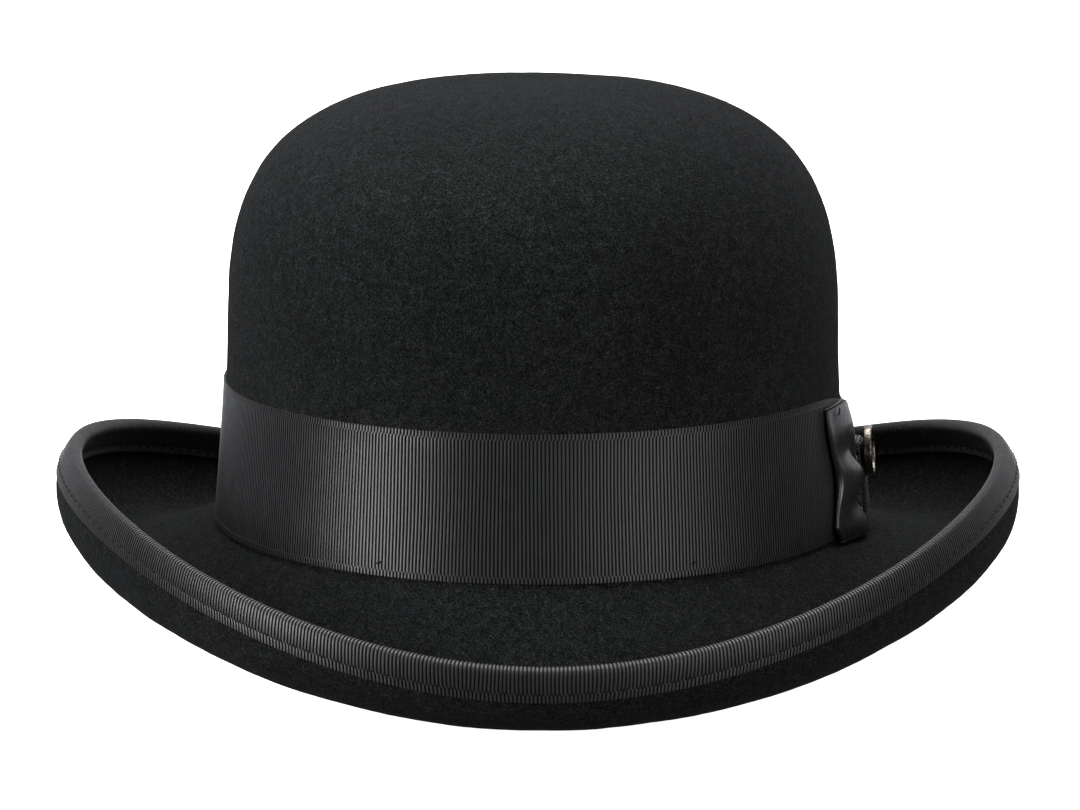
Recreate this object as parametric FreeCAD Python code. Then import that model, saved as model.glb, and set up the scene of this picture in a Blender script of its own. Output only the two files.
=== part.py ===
import FreeCAD, Part
import math
import os

# A stiff felt bowler hat, in millimetres.
# The shapes are worked out in the hat's own frame: Z = 0 is the level where crown and brim meet,
# the front is -Y and the wearer's left is +X. Every piece is moved by TO_ROW at the end, so that
# the brim's lowest points, at the front and the back, stand on Z = 0 under the brim's middle.
# theta goes round the hat: 0 is the front, 90 the wearer's left, 180 the back.

os.makedirs("parts", exist_ok=True)
V = FreeCAD.Vector

# ---- felt body
FELT = 2.8                    # thickness of the stiffened felt
CROWN_HALF_WIDTH = 87.0       # outside of the crown where it meets the brim
LENGTH_EXTRA = 12.2           # half-length less half-width, a regular oval head
CROWN_HEIGHT = 119.7
DOME_START = 48.0             # height where the upright wall turns into the dome
DOME_HALF_WIDTH = 83.8
WALL_EASE = 1.3               # how the wall eases from its taper to upright
DOME_POWER = 3.1              # squareness of the dome's shoulders
BREAK_Z = -1.0                # level of the sharp corner that the break's bend rounds off
BREAK_RADIUS = 1.5

# ---- brim: a slope from the break, then a curl of constant radius up to the cut edge
EDGE_HALF_WIDTH = 126.6
EDGE_HALF_LENGTH = 148.4
EDGE_SHIFT_X = 1.5            # the brim is cut this much wider on the wearer's left
EDGE_Z_FRONT = -12.0
EDGE_Z_SIDE = 20.0
EDGE_RISE_POWER = 0.95
CURL_RADIUS = 16.8            # to the middle of the felt
CURL_ANGLE_FRONT = 92.0       # direction of the cut edge, from level outwards
CURL_ANGLE_SIDE = 132.5
CURL_ANGLE_POWER = 0.82
REST_DROP = 31.0              # from the break down to the brim's lowest points

# ---- ribbons
RIBBON = 0.7                  # thickness of the grosgrain
AIR = 0.05                    # between layers that lie on each other
BAND_HEIGHT = 38.5
BINDING_OUTSIDE = 8.6         # width of the binding down the outside of the curl
BINDING_INSIDE = 8.0

# ---- bow and pin, on the wearer's left
BOW_Y = -3.5
BOW_Z = 12.5
BOW_HALF_LENGTH = 33.0
KNOT_LENGTH = 12.5
KNOT_HEIGHT = 24.0
KNOT_DEPTH = 5.3              # from the band to the knot's outside
PIN_Z = 18.0
PIN_TURN = 8.0                # degrees that knot and pin face forward of straight sideways
PIN_LEAN = 4.5                # degrees that they face up, as the crown's wall leans in
KNOT_GAP = 1.3                # from the band up to the ends of the knot's walls
KNOT_WALL = 0.9
PIN_RADIUS = 6.8
PIN_GAP = 0.1                 # between the pin's back and the knot
POST_RADIUS = 0.55
POST_CLEARANCE = 0.05
CLUTCH_RADIUS = 4.0
CLUTCH_DEPTH = 2.8
CLUTCH_GAP = 0.75             # between the clutch and the felt

# ---- sweatband and lining
LEATHER = 1.2
SWEATBAND_HEIGHT = 58.0
SWEATBAND_GAP = 0.6           # from the felt at its sewn edge
SWEATBAND_LEAN = 2.2          # more gap at its upper edge
CLUTCH_BULGE = 3.8            # the leather stands off the felt round the clutch
BULGE_SPREAD = 15.0
REED_RADIUS = 1.1
SATIN = 0.5
LINING_GAP = 0.4
LINING_LOW_Z = 42.0
LINING_SEAM = 0.46            # where the side meets the tip, as a share of the dome's sweep
PIPING_RADIUS = 0.9

AROUND = 72                   # points round each ring
TINY = 0.001
TO_ROW = V(-EDGE_SHIFT_X, 0, REST_DROP)


# ------------------------------------------------------------------ the felt's upper skin
def wall_half_width(z):
    climbed = min(max(z, 0.0), DOME_START) / DOME_START
    return DOME_HALF_WIDTH + (CROWN_HALF_WIDTH - DOME_HALF_WIDTH) * (1 - climbed) ** WALL_EASE


def oval(theta, half_width, half_length, z):
    return V(half_width * math.sin(theta), -half_length * math.cos(theta), z)


def brim_section(theta):
    """The brim's section at theta: where it starts, its direction, and its slope and curl."""
    s = math.sin(theta)
    side = s * s
    turn = side ** CURL_ANGLE_POWER
    edge_angle = math.radians(CURL_ANGLE_FRONT + (CURL_ANGLE_SIDE - CURL_ANGLE_FRONT) * turn)
    edge_z = EDGE_Z_FRONT + (EDGE_Z_SIDE - EDGE_Z_FRONT) * side ** EDGE_RISE_POWER
    start = oval(theta, CROWN_HALF_WIDTH, CROWN_HALF_WIDTH + LENGTH_EXTRA, 0)
    edge = oval(theta, EDGE_HALF_WIDTH, EDGE_HALF_LENGTH, 0) + V(EDGE_SHIFT_X, 0, 0)
    reach = (edge - start).Length
    outward = (edge - start).normalize()
    centre_r = reach - CURL_RADIUS * math.sin(edge_angle)
    centre_z = edge_z + CURL_RADIUS * math.cos(edge_angle)
    radius = CURL_RADIUS - FELT / 2
    away = math.hypot(centre_r, centre_z - BREAK_Z)
    slope = math.atan2(centre_z - BREAK_Z, centre_r) - math.asin(radius / away)
    return start, outward, slope, edge_angle, centre_r, centre_z, radius


def skin(theta, zone, t):
    """A point of the upper skin. zone is dome, wall, bend, slope or curl; t runs from 0 to 1."""
    if zone == "dome":
        lift = math.sin(t * math.pi / 2) ** (2 / DOME_POWER)
        spread = math.cos(t * math.pi / 2) ** (2 / DOME_POWER)
        half_length = DOME_HALF_WIDTH + LENGTH_EXTRA
        z = DOME_START + (CROWN_HEIGHT - DOME_START) * lift
        return oval(theta, DOME_HALF_WIDTH * spread, half_length * spread, z)
    start, outward, slope, edge_angle, centre_r, centre_z, radius = brim_section(theta)
    turned = math.pi / 2 + slope
    cut = BREAK_RADIUS * math.tan(turned / 2)
    if zone == "wall":
        z = DOME_START + (BREAK_Z + cut - DOME_START) * t
        half_width = wall_half_width(z)
        return oval(theta, half_width, half_width + LENGTH_EXTRA, z)
    if zone == "bend":
        a = turned * t
        r = BREAK_RADIUS * (1 - math.cos(a))
        z = BREAK_Z + cut - BREAK_RADIUS * math.sin(a)
    if zone == "slope":
        run = math.sqrt(centre_r ** 2 + (centre_z - BREAK_Z) ** 2 - radius ** 2)
        along = cut + (run - cut) * t
        r = along * math.cos(slope)
        z = BREAK_Z + along * math.sin(slope)
    if zone == "curl":
        a = slope + (edge_angle - slope) * t
        r = centre_r + radius * math.sin(a)
        z = centre_z - radius * math.cos(a)
    return start + outward * r + V(0, 0, z)


def skin_normal(theta, zone, t):
    """The unit normal of the upper skin: out of the crown, up from the brim."""
    low, high = max(t - TINY, 0.0), min(t + TINY, 1.0)
    along = skin(theta, zone, high) - skin(theta, zone, low)
    if zone == "dome":
        along = along * -1
    across = skin(theta + TINY, zone, t) - skin(theta - TINY, zone, t)
    return along.cross(across).normalize()


def layer(theta, zone, t, height):
    """A point at a height over the upper skin; the felt's other face is at -FELT."""
    return skin(theta, zone, t) + skin_normal(theta, zone, t) * height


# ------------------------------------------------------------------ rings and solids
def ring(point_at):
    """A closed smooth wire through point_at(theta), starting at the back."""
    points = [point_at(math.pi + 2 * math.pi * k / AROUND) for k in range(AROUND)]
    curve = Part.BSplineCurve()
    curve.interpolate(Points=points, PeriodicFlag=True)
    return Part.Wire([curve.toShape()])


def layer_ring(zone, t, height):
    return ring(lambda theta: layer(theta, zone, t, height))


def steps(first, last, count):
    return [first + (last - first) * k / count for k in range(count + 1)]


def ruled(ring_a, ring_b):
    return Part.makeRuledSurface(ring_a.Edges[0], ring_b.Edges[0]).Faces


def lofted(rings):
    return Part.makeLoft(rings, False, False).Faces


def sewn(faces, name):
    """One closed solid of faces that share their rings."""
    shell = Part.makeShell(faces)
    shell.sewShape(0.01)
    solid = Part.Solid(shell.Shells[0])
    if solid.Volume < 0:
        solid.reverse()
    if not solid.isValid():
        solid.fix(0.01, 0.001, 0.05)
    if not (solid.isClosed() and solid.isValid()):
        print("check", name, "closed", solid.isClosed(), "valid", solid.isValid())
    return solid


def tube(rings, name):
    """A closed ring-shaped solid: straight faces between one ring and the next, and back."""
    faces = []
    for a, b in zip(rings, rings[1:] + rings[:1]):
        faces += ruled(a, b)
    return sewn(faces, name)


def level_ring(zone, t, height):
    """The ring nearest the crown's top, made exactly level so that a flat face closes it."""
    level = layer(0.0, zone, t, height).z

    def point(theta):
        p = layer(theta, zone, t, height)
        return V(p.x, p.y, level)
    return ring(point)


def crown_rings(zone_steps, height):
    """Rings from the crown's top outwards, the first of them level."""
    (first_zone, first_t), rest = zone_steps[0], zone_steps[1:]
    return [level_ring(first_zone, first_t, height)] + [layer_ring(zone, t, height) for zone, t in rest]


def cap_solid(zone_steps, top, bottom, name):
    """A solid between two heights over the skin, closed at its middle by small flat faces."""
    upper = crown_rings(zone_steps, top)
    lower = crown_rings(zone_steps, bottom)
    faces = lofted(upper) + lofted(lower) + ruled(upper[-1], lower[-1])
    faces += [Part.Face(upper[0]), Part.Face(lower[0])]
    return sewn(faces, name)


def strip_solid(zone_steps, top, bottom, name):
    """A ring-shaped solid between two heights over the skin."""
    upper = [layer_ring(zone, t, top) for zone, t in zone_steps]
    lower = [layer_ring(zone, t, bottom) for zone, t in zone_steps]
    faces = lofted(upper) + lofted(lower)
    faces += ruled(upper[0], lower[0]) + ruled(upper[-1], lower[-1])
    return sewn(faces, name)


def placed(shape, origin, x_dir, y_dir, z_dir):
    shape.Placement = FreeCAD.Placement(origin, FreeCAD.Rotation(x_dir, y_dir, z_dir, "ZXY"))
    return shape


def bar(centre, along, out, length, width, height):
    """A small straight bar with its length along one direction and its height along another."""
    along = V(along).normalize()
    side = out.cross(along).normalize()
    up = along.cross(side).normalize()
    block = Part.makeBox(length, width, height, V(-length / 2, -width / 2, -height / 2))
    return placed(block, centre, along, side, up)


def save(name, *solids):
    """Writes one sub-part, moved into the frame that all of them share."""
    shape = solids[0] if len(solids) == 1 else Part.makeCompound(list(solids))
    shape = shape.copy()
    shape.translate(TO_ROW)
    shape.exportStep("parts/" + name + ".step")
    box = shape.BoundBox
    print(f"{name:24s} solids {len(shape.Solids):4d} volume {shape.Volume:10.1f} "
          f"x {box.XMin:7.1f} {box.XMax:7.1f} y {box.YMin:7.1f} {box.YMax:7.1f} "
          f"z {box.ZMin:6.1f} {box.ZMax:6.1f}")


# ------------------------------------------------------------------ felt body
DOME_STEPS = [("dome", t) for t in steps(0.985, 0.12, 11)]
WALL_STEPS = [("dome", 0.0)] + [("wall", t) for t in steps(0.35, 1.0, 3)]
BRIM_STEPS = ([("bend", t) for t in steps(0.0, 1.0, 4)]
              + [("slope", t) for t in steps(0.25, 0.75, 2)]
              + [("curl", t) for t in steps(0.0, 1.0, 8)])


def felt_skin(height):
    crown = crown_rings(DOME_STEPS + WALL_STEPS[:-1], height)
    brim = [layer_ring(zone, t, height) for zone, t in BRIM_STEPS]
    crown.append(brim[0])
    return lofted(crown) + lofted(brim) + [Part.Face(crown[0])], brim[-1]


def felt_body():
    upper, upper_edge = felt_skin(0.0)
    lower, lower_edge = felt_skin(-FELT)
    return sewn(upper + lower + ruled(upper_edge, lower_edge), "felt_body")


# ------------------------------------------------------------------ binding and its seam
def curl_t(theta, from_edge, height):
    """How far along the curl a point lies that is from_edge back from the cut edge."""
    _, _, slope, edge_angle, _, _, radius = brim_section(theta)
    return 1 - from_edge / (radius - height) / (edge_angle - slope)


def curl_ring(from_edge, height):
    return ring(lambda theta: layer(theta, "curl", curl_t(theta, from_edge, height), height))


def beyond_edge(theta, past, height):
    """A point past the cut edge, straight on from the curl's end."""
    _, outward, _, edge_angle, _, _, _ = brim_section(theta)
    on = outward * math.cos(edge_angle) + V(0, 0, math.sin(edge_angle))
    return layer(theta, "curl", 1.0, height) + on * past


def edge_ring(past, height):
    return ring(lambda theta: beyond_edge(theta, past, height))


def brim_binding():
    inside, outside = AIR, -FELT - AIR
    skins = []
    for gap, round_off in ((0.0, 0.0), (RIBBON, 0.3)):
        run = [curl_ring(back, inside + gap) for back in steps(BINDING_INSIDE, 1.3, 5)]
        run += [edge_ring(AIR + gap - round_off, inside + gap)]
        run += [edge_ring(AIR + gap, inside + gap - round_off)] if round_off else []
        run += [edge_ring(AIR + gap, outside - gap + round_off)] if round_off else []
        run += [edge_ring(AIR + gap - round_off, outside - gap)]
        run += [curl_ring(back, outside - gap) for back in steps(1.3, BINDING_OUTSIDE, 5)]
        skins.append(run)
    return tube(skins[0] + skins[1][::-1], "brim_binding")


def even_angles(length_at, pitch, half_turns=2):
    """Angles evenly spaced by length round a curve, from the back."""
    fine = 720
    thetas = [math.pi + 2 * math.pi * k / fine for k in range(fine + 1)]
    points = [length_at(theta) for theta in thetas]
    run = [0.0]
    for a, b in zip(points, points[1:]):
        run.append(run[-1] + (b - a).Length)
    count = int(round(run[-1] / pitch))
    angles, k = [], 0
    for n in range(count):
        target = run[-1] * (n + 0.5) / count
        while run[k + 1] < target:
            k += 1
        share = (target - run[k]) / (run[k + 1] - run[k])
        angles.append(thetas[k] + (thetas[k + 1] - thetas[k]) * share)
    return angles


def binding_stitches(from_edge, height, out_sign):
    def seam(theta):
        return layer(theta, "curl", curl_t(theta, from_edge, height), height)

    stitches = []
    for theta in even_angles(seam, 4.4):
        along = seam(theta + TINY) - seam(theta - TINY)
        out = skin_normal(theta, "curl", curl_t(theta, from_edge, height)) * out_sign
        stitches.append(bar(seam(theta), along, out, 2.6, 0.45, 0.3))
    return stitches


# ------------------------------------------------------------------ band
def wall_t(theta, z):
    """The wall's t at a height, as its lower end differs a little round the hat."""
    _, _, slope, _, _, _, _ = brim_section(theta)
    bottom = BREAK_Z + BREAK_RADIUS * math.tan((math.pi / 2 + slope) / 2)
    return (z - DOME_START) / (bottom - DOME_START)


def crown_point(theta, z, height):
    return layer(theta, "wall", wall_t(theta, z), height)


def wall_oval(theta, z, height):
    """A point over the wall, moved straight outwards so that all heights share one flat plane."""
    half_width = wall_half_width(z) + height
    return oval(theta, half_width, half_width + LENGTH_EXTRA, z)


def hat_band():
    """The ribbon round the crown: one strip whose two ends meet behind the bow."""
    levels = steps(0.15, BAND_HEIGHT + 0.15, 4)
    start = math.acos(-(BOW_Y + 4.8) / (CROWN_HALF_WIDTH + LENGTH_EXTRA))
    wires = []
    for theta in steps(start, start + 2 * math.pi - 0.008, AROUND):
        inner = [wall_oval(theta, z, AIR) for z in levels]
        outer = [wall_oval(theta, z, AIR + RIBBON) for z in levels[::-1]]
        wires.append(Part.makePolygon(inner + outer + inner[:1]))
    solid = Part.makeLoft(wires, True, False)
    if solid.Volume < 0:
        solid.reverse()
    return solid


def crown_frame(theta, z):
    """Point, direction round the hat, up and outward on the band's outside."""
    origin = crown_point(theta, z, AIR + RIBBON)
    back = (crown_point(theta + TINY, z, 0) - crown_point(theta - TINY, z, 0)).normalize()
    out = skin_normal(theta, "wall", wall_t(theta, z))
    return origin, back, out


def theta_at_y(y, z):
    half_length = wall_half_width(z) + LENGTH_EXTRA
    return math.acos(-y / half_length)


def band_tacks():
    tacks = []
    for degrees in (-28, 28, 152, 208):
        theta = math.radians(degrees)
        origin, back, out = crown_frame(theta, 3.5)
        tacks.append(bar(origin + out * 0.3, back + V(0, 0, 0.5), out, 1.7, 0.5, 0.36))
    return tacks


# ------------------------------------------------------------------ bow and pin
LEVEL_AXIS = V(math.cos(math.radians(PIN_TURN)), -math.sin(math.radians(PIN_TURN)), 0)
PIN_AXIS = LEVEL_AXIS * math.cos(math.radians(PIN_LEAN)) + V(0, 0, math.sin(math.radians(PIN_LEAN)))
KNOT_BACK = V(0, 0, 1).cross(PIN_AXIS).normalize()
KNOT_UP = PIN_AXIS.cross(KNOT_BACK).normalize()


def side_point(y, z, height):
    """A point over the band's outside at an exact y."""
    half_width = wall_half_width(z)
    half_length = half_width + LENGTH_EXTRA
    x = half_width * math.sqrt(1 - (y / half_length) ** 2)
    lean = math.atan2(y / half_length ** 2, x / half_width ** 2)
    return V(x + (AIR + RIBBON + height) / math.cos(lean), y, z)


def patch(y_steps, z_low, z_high, low, high, name):
    """A plate that follows the crown's side; its edges and depths are functions of y."""
    wires = []
    for y in y_steps:
        a, b, c, d = z_low(y), z_high(y), low(y), high(y)
        corners = [side_point(y, a, c), side_point(y, b, c), side_point(y, b, d), side_point(y, a, d)]
        wires.append(Part.makePolygon(corners + corners[:1]))
    solid = Part.makeLoft(wires, True, True)
    if solid.Volume < 0:
        solid.reverse()
    if not solid.isValid():
        print("check", name)
    return solid


def bow_base():
    return patch(steps(BOW_Y - 27, BOW_Y + 27, 12), lambda y: BOW_Z - 8, lambda y: BOW_Z + 16,
                 lambda y: AIR, lambda y: AIR + 0.6, "bow_base")


def pinch(y):
    """0 at the knot and 1 at a loop's end, eased."""
    inside = KNOT_LENGTH / 2 + 0.3
    share = min(max((abs(y - BOW_Y) - inside) / (BOW_HALF_LENGTH - inside), 0.0), 1.0)
    return math.sin(share * math.pi / 2) ** 0.8


def bow_loop(direction, name):
    """A folded loop of ribbon: full height at its end, gathered where it goes into the knot."""
    near, far = BOW_Y + direction * 1.4, BOW_Y + direction * BOW_HALF_LENGTH
    y_steps = sorted(steps(near, far, 14))
    return patch(y_steps,
                 lambda y: BOW_Z - 8.0 - 5.5 * pinch(y),
                 lambda y: BOW_Z + 8.0 + 15.5 * pinch(y),
                 lambda y: 0.85,
                 lambda y: 3.1 + 1.6 * math.sin(math.pi * pinch(y)) * pinch(y), name)


def bow_knot():
    """A ribbon sleeve round both loops: an oblong ring, open to the front and the back."""
    outer = Part.makeBox(KNOT_LENGTH, KNOT_HEIGHT, KNOT_DEPTH - KNOT_GAP,
                         V(-KNOT_LENGTH / 2, -KNOT_HEIGHT / 2, KNOT_GAP))
    outer = outer.makeFillet(0.9, [e for e in outer.Edges if abs(e.tangentAt(0).x) > 0.9])
    inner = Part.makeBox(KNOT_LENGTH + 2, KNOT_HEIGHT - 2 * KNOT_WALL, KNOT_DEPTH - KNOT_WALL,
                         V(-KNOT_LENGTH / 2 - 1, -KNOT_HEIGHT / 2 + KNOT_WALL, 0.0))
    seat = side_point(BOW_Y, BOW_Z, 0)
    return placed(outer.cut(inner), seat, KNOT_BACK, KNOT_UP, PIN_AXIS)


def pin_origin():
    """Where the pin's axis meets the back of the pin, just off the knot's outside."""
    seat = side_point(BOW_Y, BOW_Z, 0) + KNOT_UP * (PIN_Z - BOW_Z)
    return seat + PIN_AXIS * (KNOT_DEPTH + PIN_GAP)


def pin_solid(radius, start, depth):
    """A round solid about the pin's axis, from start to start + depth outwards."""
    return Part.makeCylinder(radius, depth, pin_origin() + PIN_AXIS * start, PIN_AXIS)


def pin_parts():
    face = pin_solid(PIN_RADIUS - 1.0, 0.35, 1.35)
    rim = pin_solid(PIN_RADIUS, 0.0, 2.3)
    rim = rim.makeFillet(0.7, [e for e in rim.Edges if e.Closed and len(e.Vertexes) == 1])
    bezel = rim.cut(pin_solid(PIN_RADIUS - 0.98, 0.33, 3.0))
    bezel = bezel.cut(pin_solid(POST_RADIUS + 0.02, -1.0, 3.0))
    clutch_start = -(KNOT_DEPTH + PIN_GAP + AIR + RIBBON + FELT + CLUTCH_GAP + CLUTCH_DEPTH)
    post = pin_solid(POST_RADIUS, clutch_start + 0.1, 0.3 - clutch_start - 0.1)
    clutch = pin_solid(CLUTCH_RADIUS, clutch_start, CLUTCH_DEPTH)
    clutch = clutch.makeFillet(0.8, [e for e in clutch.Edges if e.Closed])
    clutch = clutch.cut(pin_solid(POST_RADIUS + 0.02, clutch_start - 1, CLUTCH_DEPTH + 2))
    return face, bezel, post, clutch


def drilled(shape):
    """Leaves a running hole for the pin's post."""
    return shape.cut(pin_solid(POST_RADIUS + POST_CLEARANCE, -20.0, 20.05))


def bow_tacks():
    tacks = []
    for direction in (-1, 1):
        y = BOW_Y + direction * (BOW_HALF_LENGTH - 1.2)
        for z in (BOW_Z - 12.0, BOW_Z + 22.0):
            centre = side_point(y, z, 3.65)
            tacks.append(bar(centre, V(0, 0.4, 1), V(1, 0, 0), 2.0, 0.5, 0.36))
    return tacks


# ------------------------------------------------------------------ sweatband
def sweatband_gap(theta, z):
    """From the felt's inside to the leather: it leans in, and bulges round the clutch."""
    away_y = -(CROWN_HALF_WIDTH + LENGTH_EXTRA) * math.cos(theta) - BOW_Y
    near = math.exp(-((z - PIN_Z) ** 2 + away_y ** 2) / BULGE_SPREAD ** 2)
    bulge = CLUTCH_BULGE * near if math.sin(theta) > 0 else 0.0
    return SWEATBAND_GAP + SWEATBAND_LEAN * max(z, 0.0) / SWEATBAND_HEIGHT + bulge


def inner_point(theta, z, inwards):
    """A point on the inside of the crown, by the wall's oval carried straight up and down."""
    half_width = wall_half_width(z) - FELT - inwards
    return oval(theta, half_width, half_width + LENGTH_EXTRA, z)


def leather_ring(z, depth):
    return ring(lambda theta: inner_point(theta, z, sweatband_gap(theta, z) + depth))


def sweatband():
    levels = steps(0.0, SWEATBAND_HEIGHT, 12)
    outer = [leather_ring(z, 0.0) for z in levels]
    inner = [leather_ring(z, LEATHER) for z in levels]
    faces = lofted(outer) + lofted(inner) + ruled(outer[0], inner[0]) + ruled(outer[-1], inner[-1])
    slit = Part.makeBox(0.6, 30, 90, V(-0.3, 80, -10))
    return sewn(faces, "sweatband").cut(slit)


def round_tube(path_at, radius, name, sides=10):
    """A tube of round section: rings through points round a closed path."""
    rings = []
    for k in range(sides):
        a = 2 * math.pi * k / sides
        rings.append(ring(lambda theta, a=a: path_at(theta, radius * math.cos(a), radius * math.sin(a))))
    return tube(rings, name)


def reed():
    middle = SWEATBAND_GAP + LEATHER / 2
    return round_tube(lambda theta, across, up:
                      inner_point(theta, -REED_RADIUS - 0.1 + up, middle + across),
                      REED_RADIUS, "sweatband_reed")


def sweatband_stitches():
    def seam(theta):
        return inner_point(theta, 1.6, SWEATBAND_GAP - 0.25)

    stitches = []
    for theta in even_angles(seam, 6.5):
        along = seam(theta + TINY) - seam(theta - TINY)
        out = V(math.sin(theta), -math.cos(theta), 0)
        stitches.append(bar(seam(theta), along, out, 3.4, 0.5, 0.3))
    return stitches


def seam_tape():
    """A flat tape behind the sweatband's joint, between leather and felt."""
    wires = []
    for z in steps(4.0, 54.0, 10):
        behind = SWEATBAND_GAP + SWEATBAND_LEAN * z / SWEATBAND_HEIGHT - 0.1
        half_width = wall_half_width(z) - FELT - behind
        face = [V(x, (half_width + LENGTH_EXTRA) * math.sqrt(1 - (x / half_width) ** 2), z)
                for x in steps(-7.0, 7.0, 8)]
        corners = face + [p + V(0, 0.35, 0) for p in face[::-1]]
        wires.append(Part.makePolygon(corners + corners[:1]))
    return Part.makeLoft(wires, True, True)


def sweatband_bow():
    """A small flat bow on the inside of the sweatband at the back: two loops and a middle."""
    z = 15.0
    inside = SWEATBAND_GAP + SWEATBAND_LEAN * z / SWEATBAND_HEIGHT + LEATHER + 0.9
    y = wall_half_width(z) - FELT - inside + LENGTH_EXTRA - 1.6
    solids = []
    for side in (-1, 1):
        wires = []
        for x, half, depth in ((1.6, 2.0, 0.8), (5.0, 3.2, 1.1), (11.0, 4.6, 0.9)):
            corners = [V(side * x, y - depth, z - half), V(side * x, y + depth, z - half),
                       V(side * x, y + depth, z + half), V(side * x, y - depth, z + half)]
            wires.append(Part.makePolygon(corners + corners[:1]))
        loop = Part.makeLoft(wires, True, True)
        solids.append(loop)
    middle = Part.makeBox(3.0, 2.6, 5.2, V(-1.5, y - 1.3, z - 2.6))
    solids.append(middle)
    return solids


# ------------------------------------------------------------------ lining
def lining_side():
    z_top_t = LINING_SEAM
    low_t = wall_t(math.pi / 2, LINING_LOW_Z)
    zone_steps = [("wall", low_t), ("dome", 0.0)] + [("dome", t) for t in steps(0.1, z_top_t - 0.012, 6)]
    return strip_solid(zone_steps, -FELT - LINING_GAP, -FELT - LINING_GAP - SATIN, "lining_side")


def lining_tip():
    zone_steps = [("dome", t) for t in steps(0.975, LINING_SEAM + 0.012, 7)]
    return cap_solid(zone_steps, -FELT - LINING_GAP, -FELT - LINING_GAP - SATIN, "lining_tip")


def lining_piping():
    depth = -FELT - LINING_GAP - SATIN - PIPING_RADIUS - 0.05

    def path(theta, across, up):
        middle = layer(theta, "dome", LINING_SEAM, depth)
        normal = skin_normal(theta, "dome", LINING_SEAM)
        down = skin(theta, "dome", LINING_SEAM - TINY) - skin(theta, "dome", LINING_SEAM + TINY)
        return middle + normal * across + down.normalize() * up

    return round_tube(path, PIPING_RADIUS, "lining_piping")


# ------------------------------------------------------------------ write every piece
save("felt_body", drilled(felt_body()))
save("brim_binding", brim_binding())
save("binding_outer_stitches", *binding_stitches(6.2, -FELT - AIR - RIBBON - 0.2, -1))
save("binding_inner_stitches", *binding_stitches(6.2, AIR + RIBBON + 0.2, 1))
save("hat_band", drilled(hat_band()))
save("band_tack_stitches", *band_tacks())
save("bow_base", drilled(bow_base()))
save("bow_front_loop", drilled(bow_loop(-1, "bow_front_loop")))
save("bow_back_loop", drilled(bow_loop(1, "bow_back_loop")))
save("bow_knot", drilled(bow_knot()))
save("bow_tack_stitches", *bow_tacks())
pin_face, pin_bezel, pin_post, pin_clutch = pin_parts()
save("pin_face", pin_face)
save("pin_bezel", pin_bezel)
save("pin_post", pin_post)
save("pin_clutch", pin_clutch)
save("sweatband", sweatband())
save("sweatband_reed", reed())
save("sweatband_seam_tape", seam_tape())
save("sweatband_stitches", *sweatband_stitches())
save("sweatband_bow", *sweatband_bow())
save("lining_side", lining_side())
save("lining_tip", lining_tip())
save("lining_piping", lining_piping())
print("pin origin", pin_origin() + TO_ROW, "axis", PIN_AXIS)
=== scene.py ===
import math

import bpy
import numpy as np
from mathutils import Matrix, Vector


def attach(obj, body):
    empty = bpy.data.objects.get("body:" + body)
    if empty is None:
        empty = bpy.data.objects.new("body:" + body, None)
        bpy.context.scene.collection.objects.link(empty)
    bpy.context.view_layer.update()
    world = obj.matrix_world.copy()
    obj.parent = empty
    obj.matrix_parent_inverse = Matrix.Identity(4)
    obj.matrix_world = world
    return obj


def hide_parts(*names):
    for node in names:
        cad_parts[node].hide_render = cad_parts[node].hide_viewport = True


# The looks of a stiff felt bowler hat, in metres.
# Shapes are worked out in the hat's own frame, as in the part's source: Z = 0 is the level where
# crown and brim meet, the front is -Y and the wearer's left is +X. TO_ROW moves them to the frame.

MM = 0.001

# ---- felt body
FELT = 2.8 * MM
CROWN_HALF_WIDTH = 87.0 * MM
LENGTH_EXTRA = 12.2 * MM
CROWN_HEIGHT = 119.7 * MM
DOME_START = 48.0 * MM
DOME_HALF_WIDTH = 83.8 * MM
WALL_EASE = 1.3
DOME_POWER = 3.1
BREAK_Z = -1.0 * MM
BREAK_RADIUS = 1.5 * MM

# ---- brim
EDGE_HALF_WIDTH = 126.6 * MM
EDGE_HALF_LENGTH = 148.4 * MM
EDGE_SHIFT_X = 1.5 * MM
EDGE_Z_FRONT = -12.0 * MM
EDGE_Z_SIDE = 20.0 * MM
EDGE_RISE_POWER = 0.95
CURL_RADIUS = 16.8 * MM
CURL_ANGLE_FRONT = math.radians(92.0)
CURL_ANGLE_SIDE = math.radians(132.5)
CURL_ANGLE_POWER = 0.82
REST_DROP = 31.0 * MM

# ---- ribbons
RIBBON = 0.7 * MM
AIR = 0.05 * MM
BAND_HEIGHT = 38.5 * MM
BINDING_OUTSIDE = 8.6 * MM
BINDING_INSIDE = 8.0 * MM
RIB_PITCH = 1.0 * MM
RIB_SHARPNESS = 2.6
RIB_DEPTH = 0.32 * MM
RIB_SHARES = np.array([0.17, 0.25, 0.5, 0.75, 0.83])   # one rib's columns, as shares of the pitch
RIB_DROPS = np.array([1.0, 0.12, 0.0, 0.12, 1.0])      # and how deep each lies in the groove
RIB_CREST = (1, 2)                                     # the columns that a crest's strips start from
GROOVE_EDGE_ANGLE = math.radians(40)
BAND_JOINT = 0.008            # the angle that the band leaves open, under the bow
STITCH_FROM_EDGE = 6.2 * MM
STITCH_PITCH = 4.4 * MM

# ---- bow and pin
BOW_Y = -3.5 * MM
BOW_Z = 12.5 * MM
BOW_HALF_LENGTH = 33.0 * MM
KNOT_LENGTH = 12.5 * MM
KNOT_HEIGHT = 24.0 * MM
KNOT_DEPTH = 5.3 * MM
PIN_Z = 18.0 * MM
PIN_TURN = math.radians(8.0)
PIN_LEAN = math.radians(4.5)
PIN_RADIUS = 6.8 * MM
PIN_GAP = 0.1 * MM
POST_RADIUS = 0.55 * MM
CLUTCH_RADIUS = 4.0 * MM
CLUTCH_DEPTH = 2.8 * MM
CLUTCH_GAP = 0.75 * MM

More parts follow.
